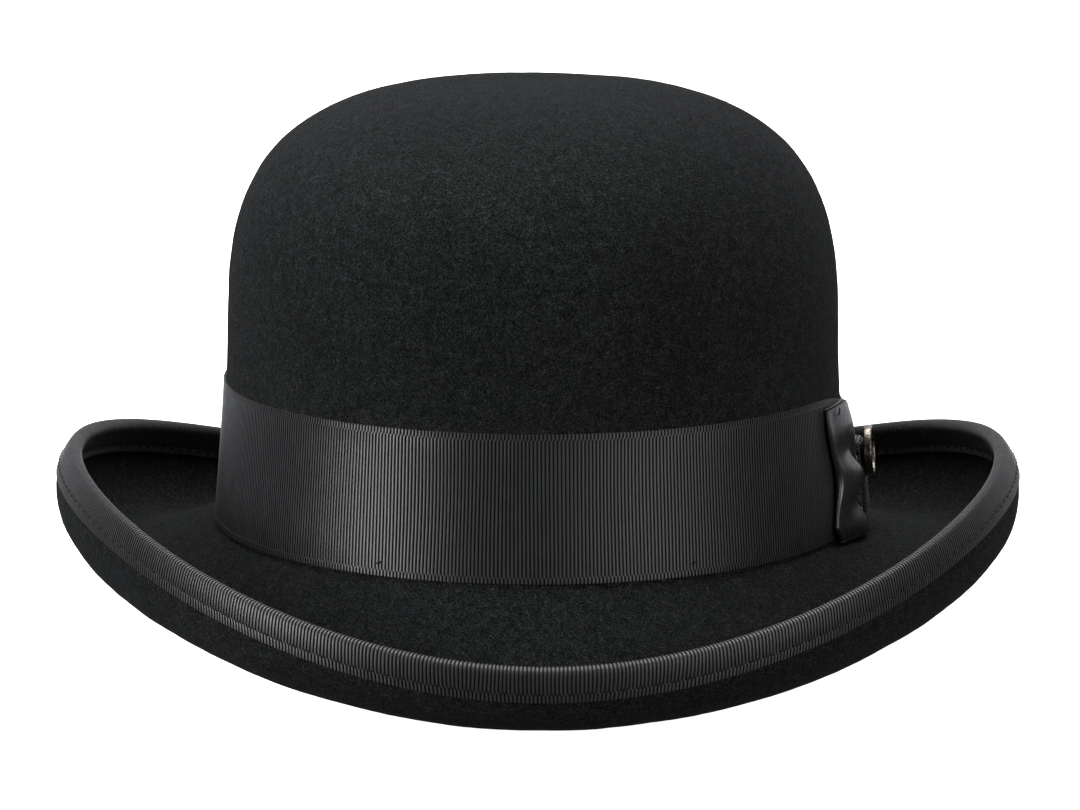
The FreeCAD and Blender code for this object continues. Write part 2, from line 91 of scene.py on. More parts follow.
# ---- sweatband and lining
LEATHER = 1.2 * MM
SWEATBAND_HEIGHT = 58.0 * MM
SWEATBAND_GAP = 0.6 * MM
SWEATBAND_LEAN = 2.2 * MM
CLUTCH_BULGE = 3.8 * MM
BULGE_SPREAD = 15.0 * MM
REED_RADIUS = 1.1 * MM
SATIN = 0.5 * MM
LINING_GAP = 0.4 * MM
LINING_LOW_Z = 42.0 * MM
LINING_SEAM = 0.46
GATHERS = 84                  # folds round the lining, where its side meets its tip
PIPING_RADIUS = 0.9 * MM

TINY = 0.001                  # a small step of an angle or of t, for directions
LEVEL = np.array([1, 1, 0])   # keeps the level part of a direction
TURN = 2 * math.pi
TO_ROW = np.array([-EDGE_SHIFT_X, 0.0, REST_DROP])

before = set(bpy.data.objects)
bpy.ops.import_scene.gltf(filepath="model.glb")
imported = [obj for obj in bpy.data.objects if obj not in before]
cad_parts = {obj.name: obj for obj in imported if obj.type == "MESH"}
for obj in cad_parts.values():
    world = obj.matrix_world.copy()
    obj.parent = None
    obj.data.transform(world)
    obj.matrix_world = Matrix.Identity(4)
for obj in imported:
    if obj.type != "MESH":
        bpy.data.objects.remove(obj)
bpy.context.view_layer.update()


# ---- the felt's upper skin
def vectors(x, y, z):
    """Points or directions of arrays of coordinates, in the last axis."""
    return np.stack(np.broadcast_arrays(x, y, z), axis=-1).astype(float)


def unit(v):
    return v / np.maximum(np.linalg.norm(v, axis=-1, keepdims=True), 1e-12)


def wall_half_width(z):
    climbed = np.clip(z, 0.0, DOME_START) / DOME_START
    return DOME_HALF_WIDTH + (CROWN_HALF_WIDTH - DOME_HALF_WIDTH) * (1 - climbed) ** WALL_EASE


def oval(theta, half_width, half_length, z):
    return vectors(half_width * np.sin(theta), -half_length * np.cos(theta), z)


def brim_section(theta):
    """The brim's section at theta: where it starts, its direction, and its slope and curl."""
    side = np.sin(theta) ** 2
    edge_angle = CURL_ANGLE_FRONT + (CURL_ANGLE_SIDE - CURL_ANGLE_FRONT) * side ** CURL_ANGLE_POWER
    edge_z = EDGE_Z_FRONT + (EDGE_Z_SIDE - EDGE_Z_FRONT) * side ** EDGE_RISE_POWER
    start = oval(theta, CROWN_HALF_WIDTH, CROWN_HALF_WIDTH + LENGTH_EXTRA, 0.0)
    edge = oval(theta, EDGE_HALF_WIDTH, EDGE_HALF_LENGTH, 0.0) + np.array([EDGE_SHIFT_X, 0, 0])
    reach = np.linalg.norm(edge - start, axis=-1)
    outward = unit(edge - start)
    centre_r = reach - CURL_RADIUS * np.sin(edge_angle)
    centre_z = edge_z + CURL_RADIUS * np.cos(edge_angle)
    radius = CURL_RADIUS - FELT / 2
    away = np.hypot(centre_r, centre_z - BREAK_Z)
    slope = np.arctan2(centre_z - BREAK_Z, centre_r) - np.arcsin(radius / away)
    return start, outward, slope, edge_angle, centre_r, centre_z, radius


def skin(theta, zone, t):
    """Points of the upper skin. zone is dome, wall, bend, slope or curl; t runs from 0 to 1."""
    if zone == "dome":
        quarter = np.clip(t, 0.0, 1.0) * math.pi / 2
        lift = np.sin(quarter) ** (2 / DOME_POWER)
        spread = np.maximum(np.cos(quarter), 0.0) ** (2 / DOME_POWER)
        z = DOME_START + (CROWN_HEIGHT - DOME_START) * lift
        return oval(theta, DOME_HALF_WIDTH * spread, (DOME_HALF_WIDTH + LENGTH_EXTRA) * spread, z)
    start, outward, slope, edge_angle, centre_r, centre_z, radius = brim_section(theta)
    turned = math.pi / 2 + slope
    cut = BREAK_RADIUS * np.tan(turned / 2)
    if zone == "wall":
        z = DOME_START + (BREAK_Z + cut - DOME_START) * t
        half_width = wall_half_width(z)
        return oval(theta, half_width, half_width + LENGTH_EXTRA, z)
    if zone == "bend":
        a = turned * t
        r = BREAK_RADIUS * (1 - np.cos(a))
        z = BREAK_Z + cut - BREAK_RADIUS * np.sin(a)
    if zone == "slope":
        run = np.sqrt(centre_r ** 2 + (centre_z - BREAK_Z) ** 2 - radius ** 2)
        along = cut + (run - cut) * t
        r = along * np.cos(slope)
        z = BREAK_Z + along * np.sin(slope)
    if zone == "curl":
        a = slope + (edge_angle - slope) * t
        r = centre_r + radius * np.sin(a)
        z = centre_z - radius * np.cos(a)
    return start + outward * r[..., None] + vectors(0.0, 0.0, z)


def skin_normal(theta, zone, t):
    """The unit normal of the upper skin: out of the crown, up from the brim."""
    theta, t = np.broadcast_arrays(np.asarray(theta, float), np.asarray(t, float))
    low, high = np.maximum(t - TINY, 0.0), np.minimum(t + TINY, 1.0)
    if zone == "curl":
        low, high = t - TINY, t + TINY
    along = skin(theta, zone, high) - skin(theta, zone, low)
    if zone == "dome":
        along = -along
    across = skin(theta + TINY, zone, t) - skin(theta - TINY, zone, t)
    return unit(np.cross(along, across))


def layer(theta, zone, t, height):
    """Points at a height over the upper skin; the felt's other face is at -FELT."""
    height = np.asarray(height, float)[..., None]
    return skin(theta, zone, t) + skin_normal(theta, zone, t) * height


def wall_t(theta, z):
    slope = brim_section(theta)[2]
    bottom = BREAK_Z + BREAK_RADIUS * np.tan((math.pi / 2 + slope) / 2)
    return (z - DOME_START) / (bottom - DOME_START)


def curl_point(theta, from_edge, height):
    """A point of the curl that is from_edge back from the cut edge; less than 0 is past it."""
    _, _, slope, edge_angle, _, _, radius = brim_section(theta)
    t = 1 - from_edge / (radius - height) / (edge_angle - slope)
    return layer(theta, "curl", t, height)


# ---- small helpers
def run_along(points):
    """The length along a row of points, at each of them."""
    return np.concatenate([[0.0], np.cumsum(np.linalg.norm(np.diff(points, axis=0), axis=-1))])


def even_thetas(curve, count, start=math.pi, sweep=TURN):
    """count + 1 angles, evenly spaced by length along curve(theta), and the curve's length."""
    fine = np.linspace(start, start + sweep, 4001)
    run = run_along(curve(fine))
    return np.interp(np.linspace(0.0, run[-1], count + 1), run, fine), run[-1]


def thetas_at(curve, lengths, start=math.pi, sweep=TURN):
    """The angles at the given lengths along curve(theta), which may run a little past its ends."""
    fine = np.linspace(start - 0.05, start + sweep + 0.05, 6001)
    run = run_along(curve(fine))
    return np.interp(lengths + np.interp(start, fine, run), run, fine)


def even_dome_t(count, low=0.0, high=1.0):
    """Values of the dome's t from high to low, evenly spaced by length over its side section."""
    fine = np.sin(np.linspace(0, math.pi / 2, 4001)) ** 2 * (high - low) + low
    run = run_along(skin(math.pi / 2, "dome", fine))
    return np.interp(np.linspace(run[-1], 0.0, count), run, fine)


def soft_noise(points, wavelength, seed, waves=14):
    """Smooth random values, about -1 to 1, that vary over the given wavelength."""
    random = np.random.default_rng(seed)
    total = np.zeros(points.shape[:-1])
    for _ in range(waves):
        direction = unit(random.normal(size=3))
        length = wavelength * random.uniform(0.7, 1.5)
        total += np.sin(points @ direction * (TURN / length) + random.uniform(0, TURN))
    return total / math.sqrt(waves)


def smooth(x, low, high):
    t = np.clip((x - low) / (high - low), 0.0, 1.0)
    return t * t * (3 - 2 * t)


def oriented(points, face_sets):
    """Arrays of triangles or quads, turned to face outwards all together."""
    volume = 0.0
    for faces in face_sets:
        corners = [points[faces[:, k]] for k in range(faces.shape[1])]
        for b, c in zip(corners[1:-1], corners[2:]):
            volume += (corners[0] * np.cross(b, c)).sum()
    return [f[:, ::-1] for f in face_sets] if volume < 0 else face_sets


def make_piece(name, points, face_sets, material, body, slot, *nodes, grooves=None, strips=None):
    """A smooth mesh of points and arrays of faces, that rides on a body and stands for CAD nodes.

    An attribute says where a ribbon's grooves are: grooves gives it for the first points, or
    strips for the columns of the first faces, which are shaded flat in a groove."""
    points = np.asarray(points, float).reshape(-1, 3)
    face_sets = oriented(points, face_sets)
    mesh = bpy.data.meshes.new(name)
    sizes = np.concatenate([np.full(len(f), f.shape[1]) for f in face_sets])
    corners = np.concatenate([f.ravel() for f in face_sets])
    mesh.vertices.add(len(points))
    mesh.vertices.foreach_set("co", (points + TO_ROW).astype(np.float32).ravel())
    mesh.loops.add(len(corners))
    mesh.loops.foreach_set("vertex_index", corners.astype(np.int32))
    mesh.polygons.add(len(sizes))
    starts = np.cumsum(sizes) - sizes
    mesh.polygons.foreach_set("loop_start", starts.astype(np.int32))
    mesh.polygons.foreach_set("loop_total", sizes.astype(np.int32))
    in_groove = np.zeros(len(sizes), bool)
    if strips is not None:
        count = len(face_sets[0])
        in_groove[:count] = np.resize(strips, count)
    mesh.polygons.foreach_set("use_smooth", ~in_groove)
    mesh.update(calc_edges=True)
    mesh.validate()
    mesh.materials.append(material)
    # The groove attribute also darkens the ribbons' colour in their grooves, as painted shade.
    if strips is not None:
        values = in_groove.astype(np.float32)
        mesh.attributes.new("groove", "FLOAT", "FACE").data.foreach_set("value", values)
        mesh.set_sharp_from_angle(angle=GROOVE_EDGE_ANGLE)
    if grooves is not None:
        values = np.zeros(len(points), np.float32)
        values[:grooves.size] = grooves.ravel()
        mesh.attributes.new("groove", "FLOAT", "POINT").data.foreach_set("value", values)
    piece = bpy.data.objects.new(name, mesh)
    bpy.context.scene.collection.objects.link(piece)
    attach(piece, body)
    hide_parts(*nodes)
    return piece


def grid_faces(rows, columns, wrap_rows=False, wrap_columns=False, first=0):
    """Quads of a grid of points whose index is first + row * columns + column."""
    r = np.arange(rows if wrap_rows else rows - 1)
    c = np.arange(columns if wrap_columns else columns - 1)
    r, c = np.meshgrid(r, c, indexing="ij")
    r2, c2 = (r + 1) % rows, (c + 1) % columns
    quads = np.stack([r * columns + c, r * columns + c2, r2 * columns + c2, r2 * columns + c], -1)
    return quads.reshape(-1, 4) + first


def capped(rings, first_middle, last_middle):
    """Points and faces of a skin of closed rings that ends in a fan at either end."""
    rows, columns = rings.shape[:2]
    count = rows * columns
    here = np.arange(columns)
    following = (here + 1) % columns
    last = count - columns
    fans = [np.stack([np.full_like(here, count), following, here], -1),
            np.stack([np.full_like(here, count + 1), last + here, last + following], -1)]
    points = np.concatenate([rings.reshape(-1, 3), [first_middle, last_middle]])
    return points, [grid_faces(rows, columns, False, True), np.concatenate(fans)]


def grid_normals(grid, wrap_columns=False):
    if wrap_columns:
        across = np.roll(grid, -1, axis=1) - np.roll(grid, 1, axis=1)
    else:
        across = np.gradient(grid, axis=1)
    return unit(np.cross(np.gradient(grid, axis=0), across))


def slab(grid, thickness, relief, out, wrap_columns=False, under_rows=None):
    """Points and faces of a sheet with thickness over a grid of middle points.

    relief is added to its outer face, whose side is the one that the directions out point to.
    under_rows picks the rows that the plain other face is made of."""
    normals = grid_normals(grid, wrap_columns)
    normals = normals * np.sign((normals * out).sum(-1).mean())
    relief = np.broadcast_to(relief, grid.shape[:2])
    outer = grid + normals * (thickness / 2 + relief)[..., None]
    picks = np.arange(len(grid)) if under_rows is None else np.asarray(under_rows)
    under = (grid - normals * thickness / 2)[picks][::-1]
    rows = np.concatenate([outer, under])
    columns = grid.shape[1]
    quads = grid_faces(len(rows), columns, True, wrap_columns)
    if wrap_columns:
        return rows.reshape(-1, 3), [quads]
    under_at = {int(pick): len(grid) + k for k, pick in enumerate(picks[::-1])}
    sides = []
    for column, order in ((0, -1), (columns - 1, 1)):
        for low, high in zip(picks[:-1], picks[1:]):
            near, far = under_at[int(low)], under_at[int(high)]
            corners = [(r, r + 1, near) for r in range(low, high)] + [(high, far, near)]
            sides += [[row * columns + column for row in corner[::order]] for corner in corners]
    return rows.reshape(-1, 3), [quads, np.array(sides)]


def rib_grooves(along, pitch):
    """0 on the ribs' crests and 1 at the bottom of the grooves, for lengths along the ribbon."""
    share = np.mod(along / pitch, 1.0)
    return np.abs(2 * share - 1) ** RIB_SHARPNESS


def ribbed_columns(ribs):
    """Columns of a ribbon that is ribbed to its grooves' bottoms: their places, counted in ribs,
    how deep each lies, and which of the strips between them are a groove's walls and bottom."""
    places = (np.arange(ribs)[:, None] + RIB_SHARES).ravel()
    strips = ~np.isin(np.arange(len(places)) % len(RIB_SHARES), RIB_CREST)
    return places, np.tile(RIB_DROPS, ribs), strips


def ribbon_relief(along, across, width, rib, selvedge=1.5 * MM):
    """Grosgrain: ribs across the ribbon, and a narrow woven edge along both of its sides.

    Gives the relief, half above and half below the sheet's face, and the grooves' depth."""
    from_side = np.minimum(across, width - across)
    in_edge = from_side < selvedge
    grooves = rib_grooves(along + np.where(in_edge, 0.5 * RIB_PITCH, 0.0), RIB_PITCH)
    # A groove line along the woven edge: a small dip in the relief, and painted shade in the colour through the
    # groove attribute.
    line = np.exp(-((from_side - selvedge) / (0.22 * MM)) ** 2)
    grooves = np.maximum(grooves, 0.6 * line)
    return (0.5 - grooves) * rib, grooves


# ---- materials
def add_node(tree, kind, **values):
    node = tree.nodes.new(kind)
    for key, value in values.items():
        if key in node.inputs:
            node.inputs[key].default_value = value
        else:
            setattr(node, key, value)
    return node


class Look:
    """A material in the making: each method adds a node and gives the socket to join it by."""

    def __init__(self, name):
        self.material = bpy.data.materials.new(name)
        self.material.use_nodes = True
        self.tree = self.material.node_tree

    def join(self, source, socket):
        self.tree.links.new(source, socket)

    def noise(self, scale, detail, roughness=0.5, distortion=0.0, stretch=None):
        """A noise texture over the frame's coordinates; stretch scales them per axis."""
        source = add_node(self.tree, "ShaderNodeTexCoord").outputs["Object"]
        if stretch:
            mapping = add_node(self.tree, "ShaderNodeMapping", Scale=stretch)
            self.join(source, mapping.inputs["Vector"])
            source = mapping.outputs["Vector"]
        texture = add_node(self.tree, "ShaderNodeTexNoise", Scale=scale, Detail=detail,
                           Roughness=roughness, Distortion=distortion)
        self.join(source, texture.inputs["Vector"])
        return texture.outputs["Fac"]

    def ramp(self, source, *stops):
        """A colour ramp; stops are (position, colour or grey)."""
        node = add_node(self.tree, "ShaderNodeValToRGB")
        elements = node.color_ramp.elements
        while len(elements) < len(stops):
            elements.new(0.5)
        for element, (position, colour) in zip(elements, stops):
            element.position = position
            element.color = (*colour, 1.0) if isinstance(colour, tuple) else (colour, colour, colour, 1.0)
        self.join(source, node.inputs["Fac"])
        return node.outputs["Color"]

    def mix(self, kind, factor, a, b):
        """A colour mix; factor, a and b are sockets or values."""
        node = add_node(self.tree, "ShaderNodeMix", data_type="RGBA", blend_type=kind)
        for socket, value in ((node.inputs[0], factor), (node.inputs[6], a), (node.inputs[7], b)):
            self.fill(socket, value)
        return node.outputs[2]

    def times(self, a, b, factor=1.0):
        return self.mix("MULTIPLY", factor, a, b)

    def bump(self, height, strength, distance, normal=None):
        node = add_node(self.tree, "ShaderNodeBump", Strength=strength, Distance=distance)
        self.join(height, node.inputs["Height"])
        if normal is not None:
            self.join(normal, node.inputs["Normal"])
        return node.outputs["Normal"]

    def fill(self, socket, value):
        """Joins a socket to the value, or sets it: a colour is given without its alpha."""
        if isinstance(value, bpy.types.NodeSocket):
            self.join(value, socket)
        else:
            socket.default_value = (*value, 1.0) if isinstance(value, tuple) else value

    def finish(self, **inputs):
        """Fills the shader's inputs of those names, and gives the material."""
        shader = self.tree.nodes["Principled BSDF"]
        for name, value in inputs.items():
            self.fill(shader.inputs[name.replace("_", " ")], value)
        return self.material


def felt_material():
    look = Look("wool_felt")
    fibres = look.noise(2300.0, 3.0, 0.6, 1.6)
    clumps = look.noise(420.0, 3.0, 0.6, 0.6)
    clouds = look.noise(28.0, 2.0)
    speckle = look.ramp(fibres, (0.36, (0.0008, 0.0009, 0.0010)), (0.5, (0.0060, 0.0065, 0.0068)),
                        (0.66, (0.038, 0.0402, 0.0412)))
    patches = look.ramp(clumps, (0.3, 0.6), (0.7, 1.35))
    wide = look.ramp(clouds, (0.3, 0.92), (0.7, 1.08))
    colour = look.times(look.times(speckle, patches), wide)
    rough = look.bump(clumps, 0.5, 0.0006)
    return look.finish(Base_Color=colour, Normal=look.bump(fibres, 0.9, 0.0006, rough), Roughness=0.92,
                       Sheen_Weight=0.010, Sheen_Roughness=0.4, Sheen_Tint=(0.85, 0.92, 1.0),
                       Specular_IOR_Level=0.05)


def ribbon_material(name, base, lit, roughness, specular, combed):
    """Grosgrain: fine silky warp threads over the mesh's ribs, dull in their grooves, where the colour is
    darkened as painted shade.

    combed is how much the threads, which run round the hat, stretch a highlight up and down."""
    look = Look(name)
    threads = look.noise(5200.0, 2.0)
    shimmer = look.noise(260.0, 3.0, 0.6, 0.3)
    groove = add_node(look.tree, "ShaderNodeAttribute", attribute_name="groove").outputs["Fac"]
    colour = look.ramp(threads, (0.3, base), (0.7, lit))
    colour = look.times(colour, look.ramp(shimmer, (0.3, 0.85), (0.7, 1.15)))
    # Painted shade: the colour falls to 3% of itself down in the grooves, for the shade that the ribs cast there.
    colour = look.times(colour, look.ramp(groove, (0.08, 1.0), (0.6, 0.03)))
    worn = look.ramp(shimmer, (0.3, roughness - 0.05), (0.7, roughness + 0.06))
    dull = look.ramp(groove, (0.15, 0.0), (0.6, 1.0))
    return look.finish(Base_Color=colour, Normal=look.bump(threads, 0.25, 0.00006),
                       Roughness=look.mix("MIX", dull, worn, (1.0, 1.0, 1.0)), Specular_IOR_Level=specular,
                       Anisotropic=combed, Anisotropic_Rotation=0.25)


def thread_material():
    look = Look("twisted_thread")
    ply = look.noise(3600.0, 2.0)
    # Black thread's own colour, made darker still as painted shade, for the dark of stitches sunk into the cloth.
    return look.finish(Base_Color=look.ramp(ply, (0.3, 0.002), (0.7, 0.008)),
                       Normal=look.bump(ply, 0.5, 0.0001), Roughness=0.6, Specular_IOR_Level=0.15)


def metal_material(name, dark, light, roughness):
    """Satin metal: fine scratches in its roughness, and darker where it has tarnished."""
    look = Look(name)
    tarnish = look.noise(700.0, 4.0, 0.6)
    scratches = look.noise(3000.0, 2.0, 0.5, 0.0, (1.0, 1.0, 0.12))
    return look.finish(Base_Color=look.ramp(tarnish, (0.35, dark), (0.65, light)),
                       Roughness=look.ramp(scratches, (0.3, roughness - 0.06), (0.7, roughness + 0.1)),
                       Normal=look.bump(scratches, 0.12, 0.00005), Metallic=1.0)


def enamel_material():
    look = Look("dark_enamel")
    depth = look.noise(500.0, 2.0)
    colour = look.ramp(depth, (0.3, (0.008, 0.008, 0.01)), (0.7, (0.02, 0.02, 0.024)))
    return look.finish(Base_Color=colour, Normal=look.bump(depth, 0.06, 0.00008), Roughness=0.18, Coat_Weight=0.5,
                       Coat_Roughness=0.08)


def leather_material():
    look = Look("sweatband_leather")
    place = add_node(look.tree, "ShaderNodeTexCoord")
    cells = add_node(look.tree, "ShaderNodeTexVoronoi", Scale=1100.0, feature="DISTANCE_TO_EDGE")
    look.join(place.outputs["Object"], cells.inputs["Vector"])
    creases = look.ramp(cells.outputs["Distance"], (0.0, 0.0), (0.12, 1.0))
    tone = look.noise(60.0, 4.0, 0.6)
    pores = look.noise(2600.0, 2.0)
    base = look.ramp(tone, (0.3, (0.020, 0.014, 0.011)), (0.7, (0.042, 0.030, 0.023)))
    grain = look.bump(creases, 0.3, 0.00012)
    return look.finish(Base_Color=look.times(base, creases, 0.55),
                       Normal=look.bump(pores, 0.2, 0.00006, grain),
                       Roughness=look.ramp(tone, (0.3, 0.36), (0.7, 0.5)), Specular_IOR_Level=0.5)


def woven_material(name, dark, light, roughness, sheen, weave=2200.0):
    """Plain woven cloth, as on tape, piping and satin: fine threads and a little unevenness."""
    look = Look(name)
    weft = look.noise(weave, 2.0, 0.5, 0.0, (0.15, 0.15, 1.0))
    warp = look.noise(weave, 2.0, 0.5, 0.0, (1.0, 1.0, 0.15))
    crossed = look.mix("MIX", 0.5, weft, warp)
    tone = look.noise(45.0, 3.0)
    colour = look.ramp(crossed, (0.35, dark), (0.65, light))
    return look.finish(Base_Color=look.times(colour, look.ramp(tone, (0.3, 0.88), (0.7, 1.12))),
                       Normal=look.bump(crossed, 0.2, 0.00008), Roughness=roughness,
                       Sheen_Weight=sheen, Sheen_Roughness=0.3)


FELT_LOOK = felt_material()
BAND_LOOK = ribbon_material("grosgrain_band", (0.017, 0.0176, 0.0188), (0.034, 0.0350, 0.0374),
                            roughness=0.42, specular=0.5, combed=0.8)
BINDING_LOOK = ribbon_material("grosgrain_binding", (0.013, 0.0134, 0.0144), (0.026, 0.0268, 0.0288),
                               roughness=0.45, specular=0.5, combed=0.7)
BOW_LOOK = ribbon_material("grosgrain_bow", (0.012, 0.0123, 0.0130), (0.024, 0.0246, 0.0260),
                           roughness=0.29, specular=0.7, combed=0.0)
THREAD_LOOK = thread_material()
ENAMEL_LOOK = enamel_material()
PIN_METAL_LOOK = metal_material("aged_nickel", (0.035, 0.031, 0.026), (0.26, 0.235, 0.195), 0.3)
BRASS_LOOK = metal_material("clutch_brass", (0.38, 0.27, 0.11), (0.72, 0.56, 0.28), 0.3)
LEATHER_LOOK = leather_material()
REED_LOOK = woven_material("reed_cover", (0.012, 0.012, 0.013), (0.03, 0.03, 0.032), 0.7, 0.2)
TAPE_LOOK = woven_material("cotton_tape", (0.012, 0.012, 0.013), (0.028, 0.028, 0.03), 0.85, 0.2)
SATIN_LOOK = woven_material("lining_satin", (0.035, 0.036, 0.040), (0.07, 0.072, 0.079), 0.3, 0.15, 5200.0)
PIPING_LOOK = woven_material("piping_satin", (0.025, 0.026, 0.029), (0.05, 0.051, 0.056), 0.35, 0.15,
                             4200.0)


# ---- felt body
def felt_shell():
    """Crown and brim in one: the outside from the top to the edge, and the inside back again."""
    theta = np.linspace(0.0, TURN, 480, endpoint=False)
    down = [("dome", t) for t in even_dome_t(46)[1:]]
    for zone, count, end in (("wall", 15, 1.0), ("bend", 6, 1.0), ("slope", 9, 1.0), ("curl", 19, 0.955)):
        down += [(zone, t) for t in np.linspace(0.0, end, count)[1:]]
    outer = [layer(theta, zone, t, 0.0) for zone, t in down]
    inner = [layer(theta, zone, t, -FELT) for zone, t in down]
    across = np.linspace(0, math.pi, 9)[1:-1]
    edge = [curl_point(theta, 1.3 * MM * (1 - math.sin(a) ** 0.8), -FELT / 2 * (1 - math.cos(a)))
            for a in across]
    rows = np.array(outer + edge + inner[::-1])
    hand = soft_noise(rows, 34 * MM, 11) * 0.10 * MM + soft_noise(rows, 9 * MM, 12) * 0.035 * MM
    hand += soft_noise(rows, 3.4 * MM, 13) * 0.02 * MM
    rows = rows + grid_normals(rows, True) * hand[..., None]
    points, faces = capped(rows, [0.0, 0.0, CROWN_HEIGHT], [0.0, 0.0, CROWN_HEIGHT - FELT])
    make_piece("felt_shell", points, faces, FELT_LOOK, "hat", "felt", "felt_body")


# ---- thread stitches
def thread_stitches(name, centres, along, out, length, width, lift, node):
    """Short arched threads: each rises from the cloth, runs along it and goes back in."""
    rings, sides = 9, 8
    share = np.linspace(-1, 1, rings)[:, None]
    around = np.linspace(0, TURN, sides, endpoint=False)
    arch = 1 - share ** 4
    body = np.sqrt(np.maximum(1 - np.abs(share) ** 3.0, 0.0)) * 0.9 + 0.1
    along = unit(along - out * (along * out).sum(-1, keepdims=True))
    side = np.cross(out, along)
    x = share * length / 2 + 0 * around
    y = np.cos(around) * width / 2 * body
    z = np.sin(around) * width * 0.4 * body + arch * lift - lift * 0.6
    points = (centres[:, None, None] + along[:, None, None] * x[..., None]
              + side[:, None, None] * y[..., None] + out[:, None, None] * z[..., None])
    tube = grid_faces(rings, sides, False, True)
    last = (rings - 1) * sides
    fans = [[0, k + 1, k] for k in range(1, sides - 1)]
    fans += [[last, last + k, last + k + 1] for k in range(1, sides - 1)]
    steps = np.arange(len(centres))[:, None, None] * rings * sides
    face_sets = [(tube[None] + steps).reshape(-1, 4), (np.array(fans)[None] + steps).reshape(-1, 3)]
    make_piece(name, points, face_sets, THREAD_LOOK, "hat", "thread", node)


# ---- binding
FOLD_BACK = 1.4 * MM          # where the binding starts to round over the brim's edge


def binding_profile():
    """Rows across the binding: back from the edge, and height over the skin."""
    inside, outside = AIR + RIBBON / 2, -FELT - AIR - RIBBON / 2
    middle, half = (inside + outside) / 2, (inside - outside) / 2
    past = AIR + RIBBON / 2
    rows = [(back * MM, inside) for back in (8.0, 6.5, 6.2, 5.9, 3.4)]
    for a in np.linspace(0, math.pi, 8):
        rows.append((FOLD_BACK - (FOLD_BACK + past) * math.sin(a) ** 0.8, middle + half * math.cos(a)))
    rows += [(back * MM, outside) for back in (3.4, 5.9, 6.2, 6.5, 8.6)]
    return np.array(rows)


def binding():
    def edge(theta):
        return curl_point(theta, 0.0, -FELT / 2)
    _, length = even_thetas(edge, 10)
    ribs = int(round(length / RIB_PITCH))
    pitch = length / ribs
    places, drops, strips = ribbed_columns(ribs)
    back, height = binding_profile().T
    past_seam = (back > STITCH_FROM_EDGE + 0.2 * MM)[:, None]
    on_seam = (np.abs(back - STITCH_FROM_EDGE) < 0.1 * MM)[:, None]
    plain = curl_point(thetas_at(edge, places * pitch)[None], back[:, None], height[:, None])
    wander = soft_noise(plain, 14 * MM, 21) * 0.16
    theta = thetas_at(edge, (places + wander + np.where(past_seam, 0.5, 0.0)) * pitch)
    grid = curl_point(theta, back[:, None], height[:, None])
    grooves = np.broadcast_to(drops, theta.shape)
    relief = 0.06 * MM - grooves * RIB_DEPTH - np.where(on_seam, 0.12 * MM, 0.0)
    middle = curl_point(theta[0], 4 * MM, -FELT / 2)
    points, faces = slab(grid, RIBBON, relief, grid - middle[None], True, [0, 6, 11, len(grid) - 1])
    piece = make_piece("brim_binding_ribbon", points, faces, BINDING_LOOK, "hat", "binding_ribbon",
                       "brim_binding", strips=strips)


def binding_seam(name, height, sign, node):
    def seam(theta):
        return curl_point(theta, STITCH_FROM_EDGE, height)
    _, length = even_thetas(seam, 10)
    count = int(round(length / STITCH_PITCH))
    theta, _ = even_thetas(seam, count * 2)
    theta = theta[1::2]
    centres = seam(theta)
    along = seam(theta + TINY) - seam(theta - TINY)
    above = curl_point(theta, STITCH_FROM_EDGE, height + sign * MM)
    thread_stitches(name, centres, along, unit(above - centres), 3.1 * MM, 0.5 * MM, 0.2 * MM, node)


# ---- band
def wall_oval(theta, z, height):
    half_width = wall_half_width(z) + height
    return oval(theta, half_width, half_width + LENGTH_EXTRA, z)


def hat_band():
    start = math.acos(-(BOW_Y + 4.8 * MM) / (CROWN_HALF_WIDTH + LENGTH_EXTRA))

    def middle(theta):
        return wall_oval(theta, 19 * MM, AIR + RIBBON / 2)
    sweep = TURN - BAND_JOINT
    _, length = even_thetas(middle, 10, start, sweep)
    ribs = int(round(length / RIB_PITCH))
    pitch = length / ribs
    places, drops, strips = ribbed_columns(ribs)
    across = np.array([0, 0.4, 1.3, 1.6, 6, 11, 16, 22, 28, 33, 36.9, 37.2, 38.1, 38.5]) * MM
    from_side = np.minimum(across, BAND_HEIGHT - across)[:, None]
    in_edge = from_side < 1.4 * MM
    z = across[:, None] + 0.15 * MM
    plain = wall_oval(thetas_at(middle, places * pitch, start, sweep)[None], z, 0.0)
    slack = soft_noise(plain, 60 * MM, 31) * 0.05 * MM
    wander = soft_noise(plain * np.array([1, 1, 0.6]), 25 * MM, 32) * 0.22
    theta = thetas_at(middle, (places + wander + np.where(in_edge, 0.5, 0.0)) * pitch, start, sweep)
    beside_bow = np.exp(-(plain[..., 1] / (26 * MM)) ** 2) * (plain[..., 0] > 0)
    dip = 6.5 * MM * beside_bow * (across[:, None] / BAND_HEIGHT) ** 2
    grid = wall_oval(theta, z - dip, AIR + RIBBON / 2 + 0.06 * MM + slack)
    grooves = np.broadcast_to(drops, theta.shape)
    loops = (grooves - 0.5) * 0.3 * MM * (from_side < 0.1 * MM)
    grid[..., 2] += np.where(across[:, None] < BAND_HEIGHT / 2, loops, -loops)
    grid[..., 2] = np.maximum(grid[..., 2], 0.02 * MM)
    points, faces = slab(grid, RIBBON - 0.12 * MM, 0.04 * MM - grooves * RIB_DEPTH, grid * LEVEL,
                         False, [0, 6, len(across) - 1])
    piece = make_piece("band_ribbon_strip", points, faces, BAND_LOOK, "hat", "band_ribbon", "hat_band",
                       strips=strips[:-1])


def band_tacks():
    theta = np.radians(np.array([-28.0, 28.0, 152.0, 208.0]))
    z = 3.5 * MM
    centres = wall_oval(theta, z, AIR + RIBBON + 0.12 * MM)
    back = wall_oval(theta + TINY, z, 0.0) - wall_oval(theta - TINY, z, 0.0)
    out = skin_normal(theta, "wall", wall_t(theta, z))
    thread_stitches("band_tacks", centres, unit(back) + np.array([0, 0, 0.5]), out,
                    1.8 * MM, 0.55 * MM, 0.3 * MM, "band_tack_stitches")


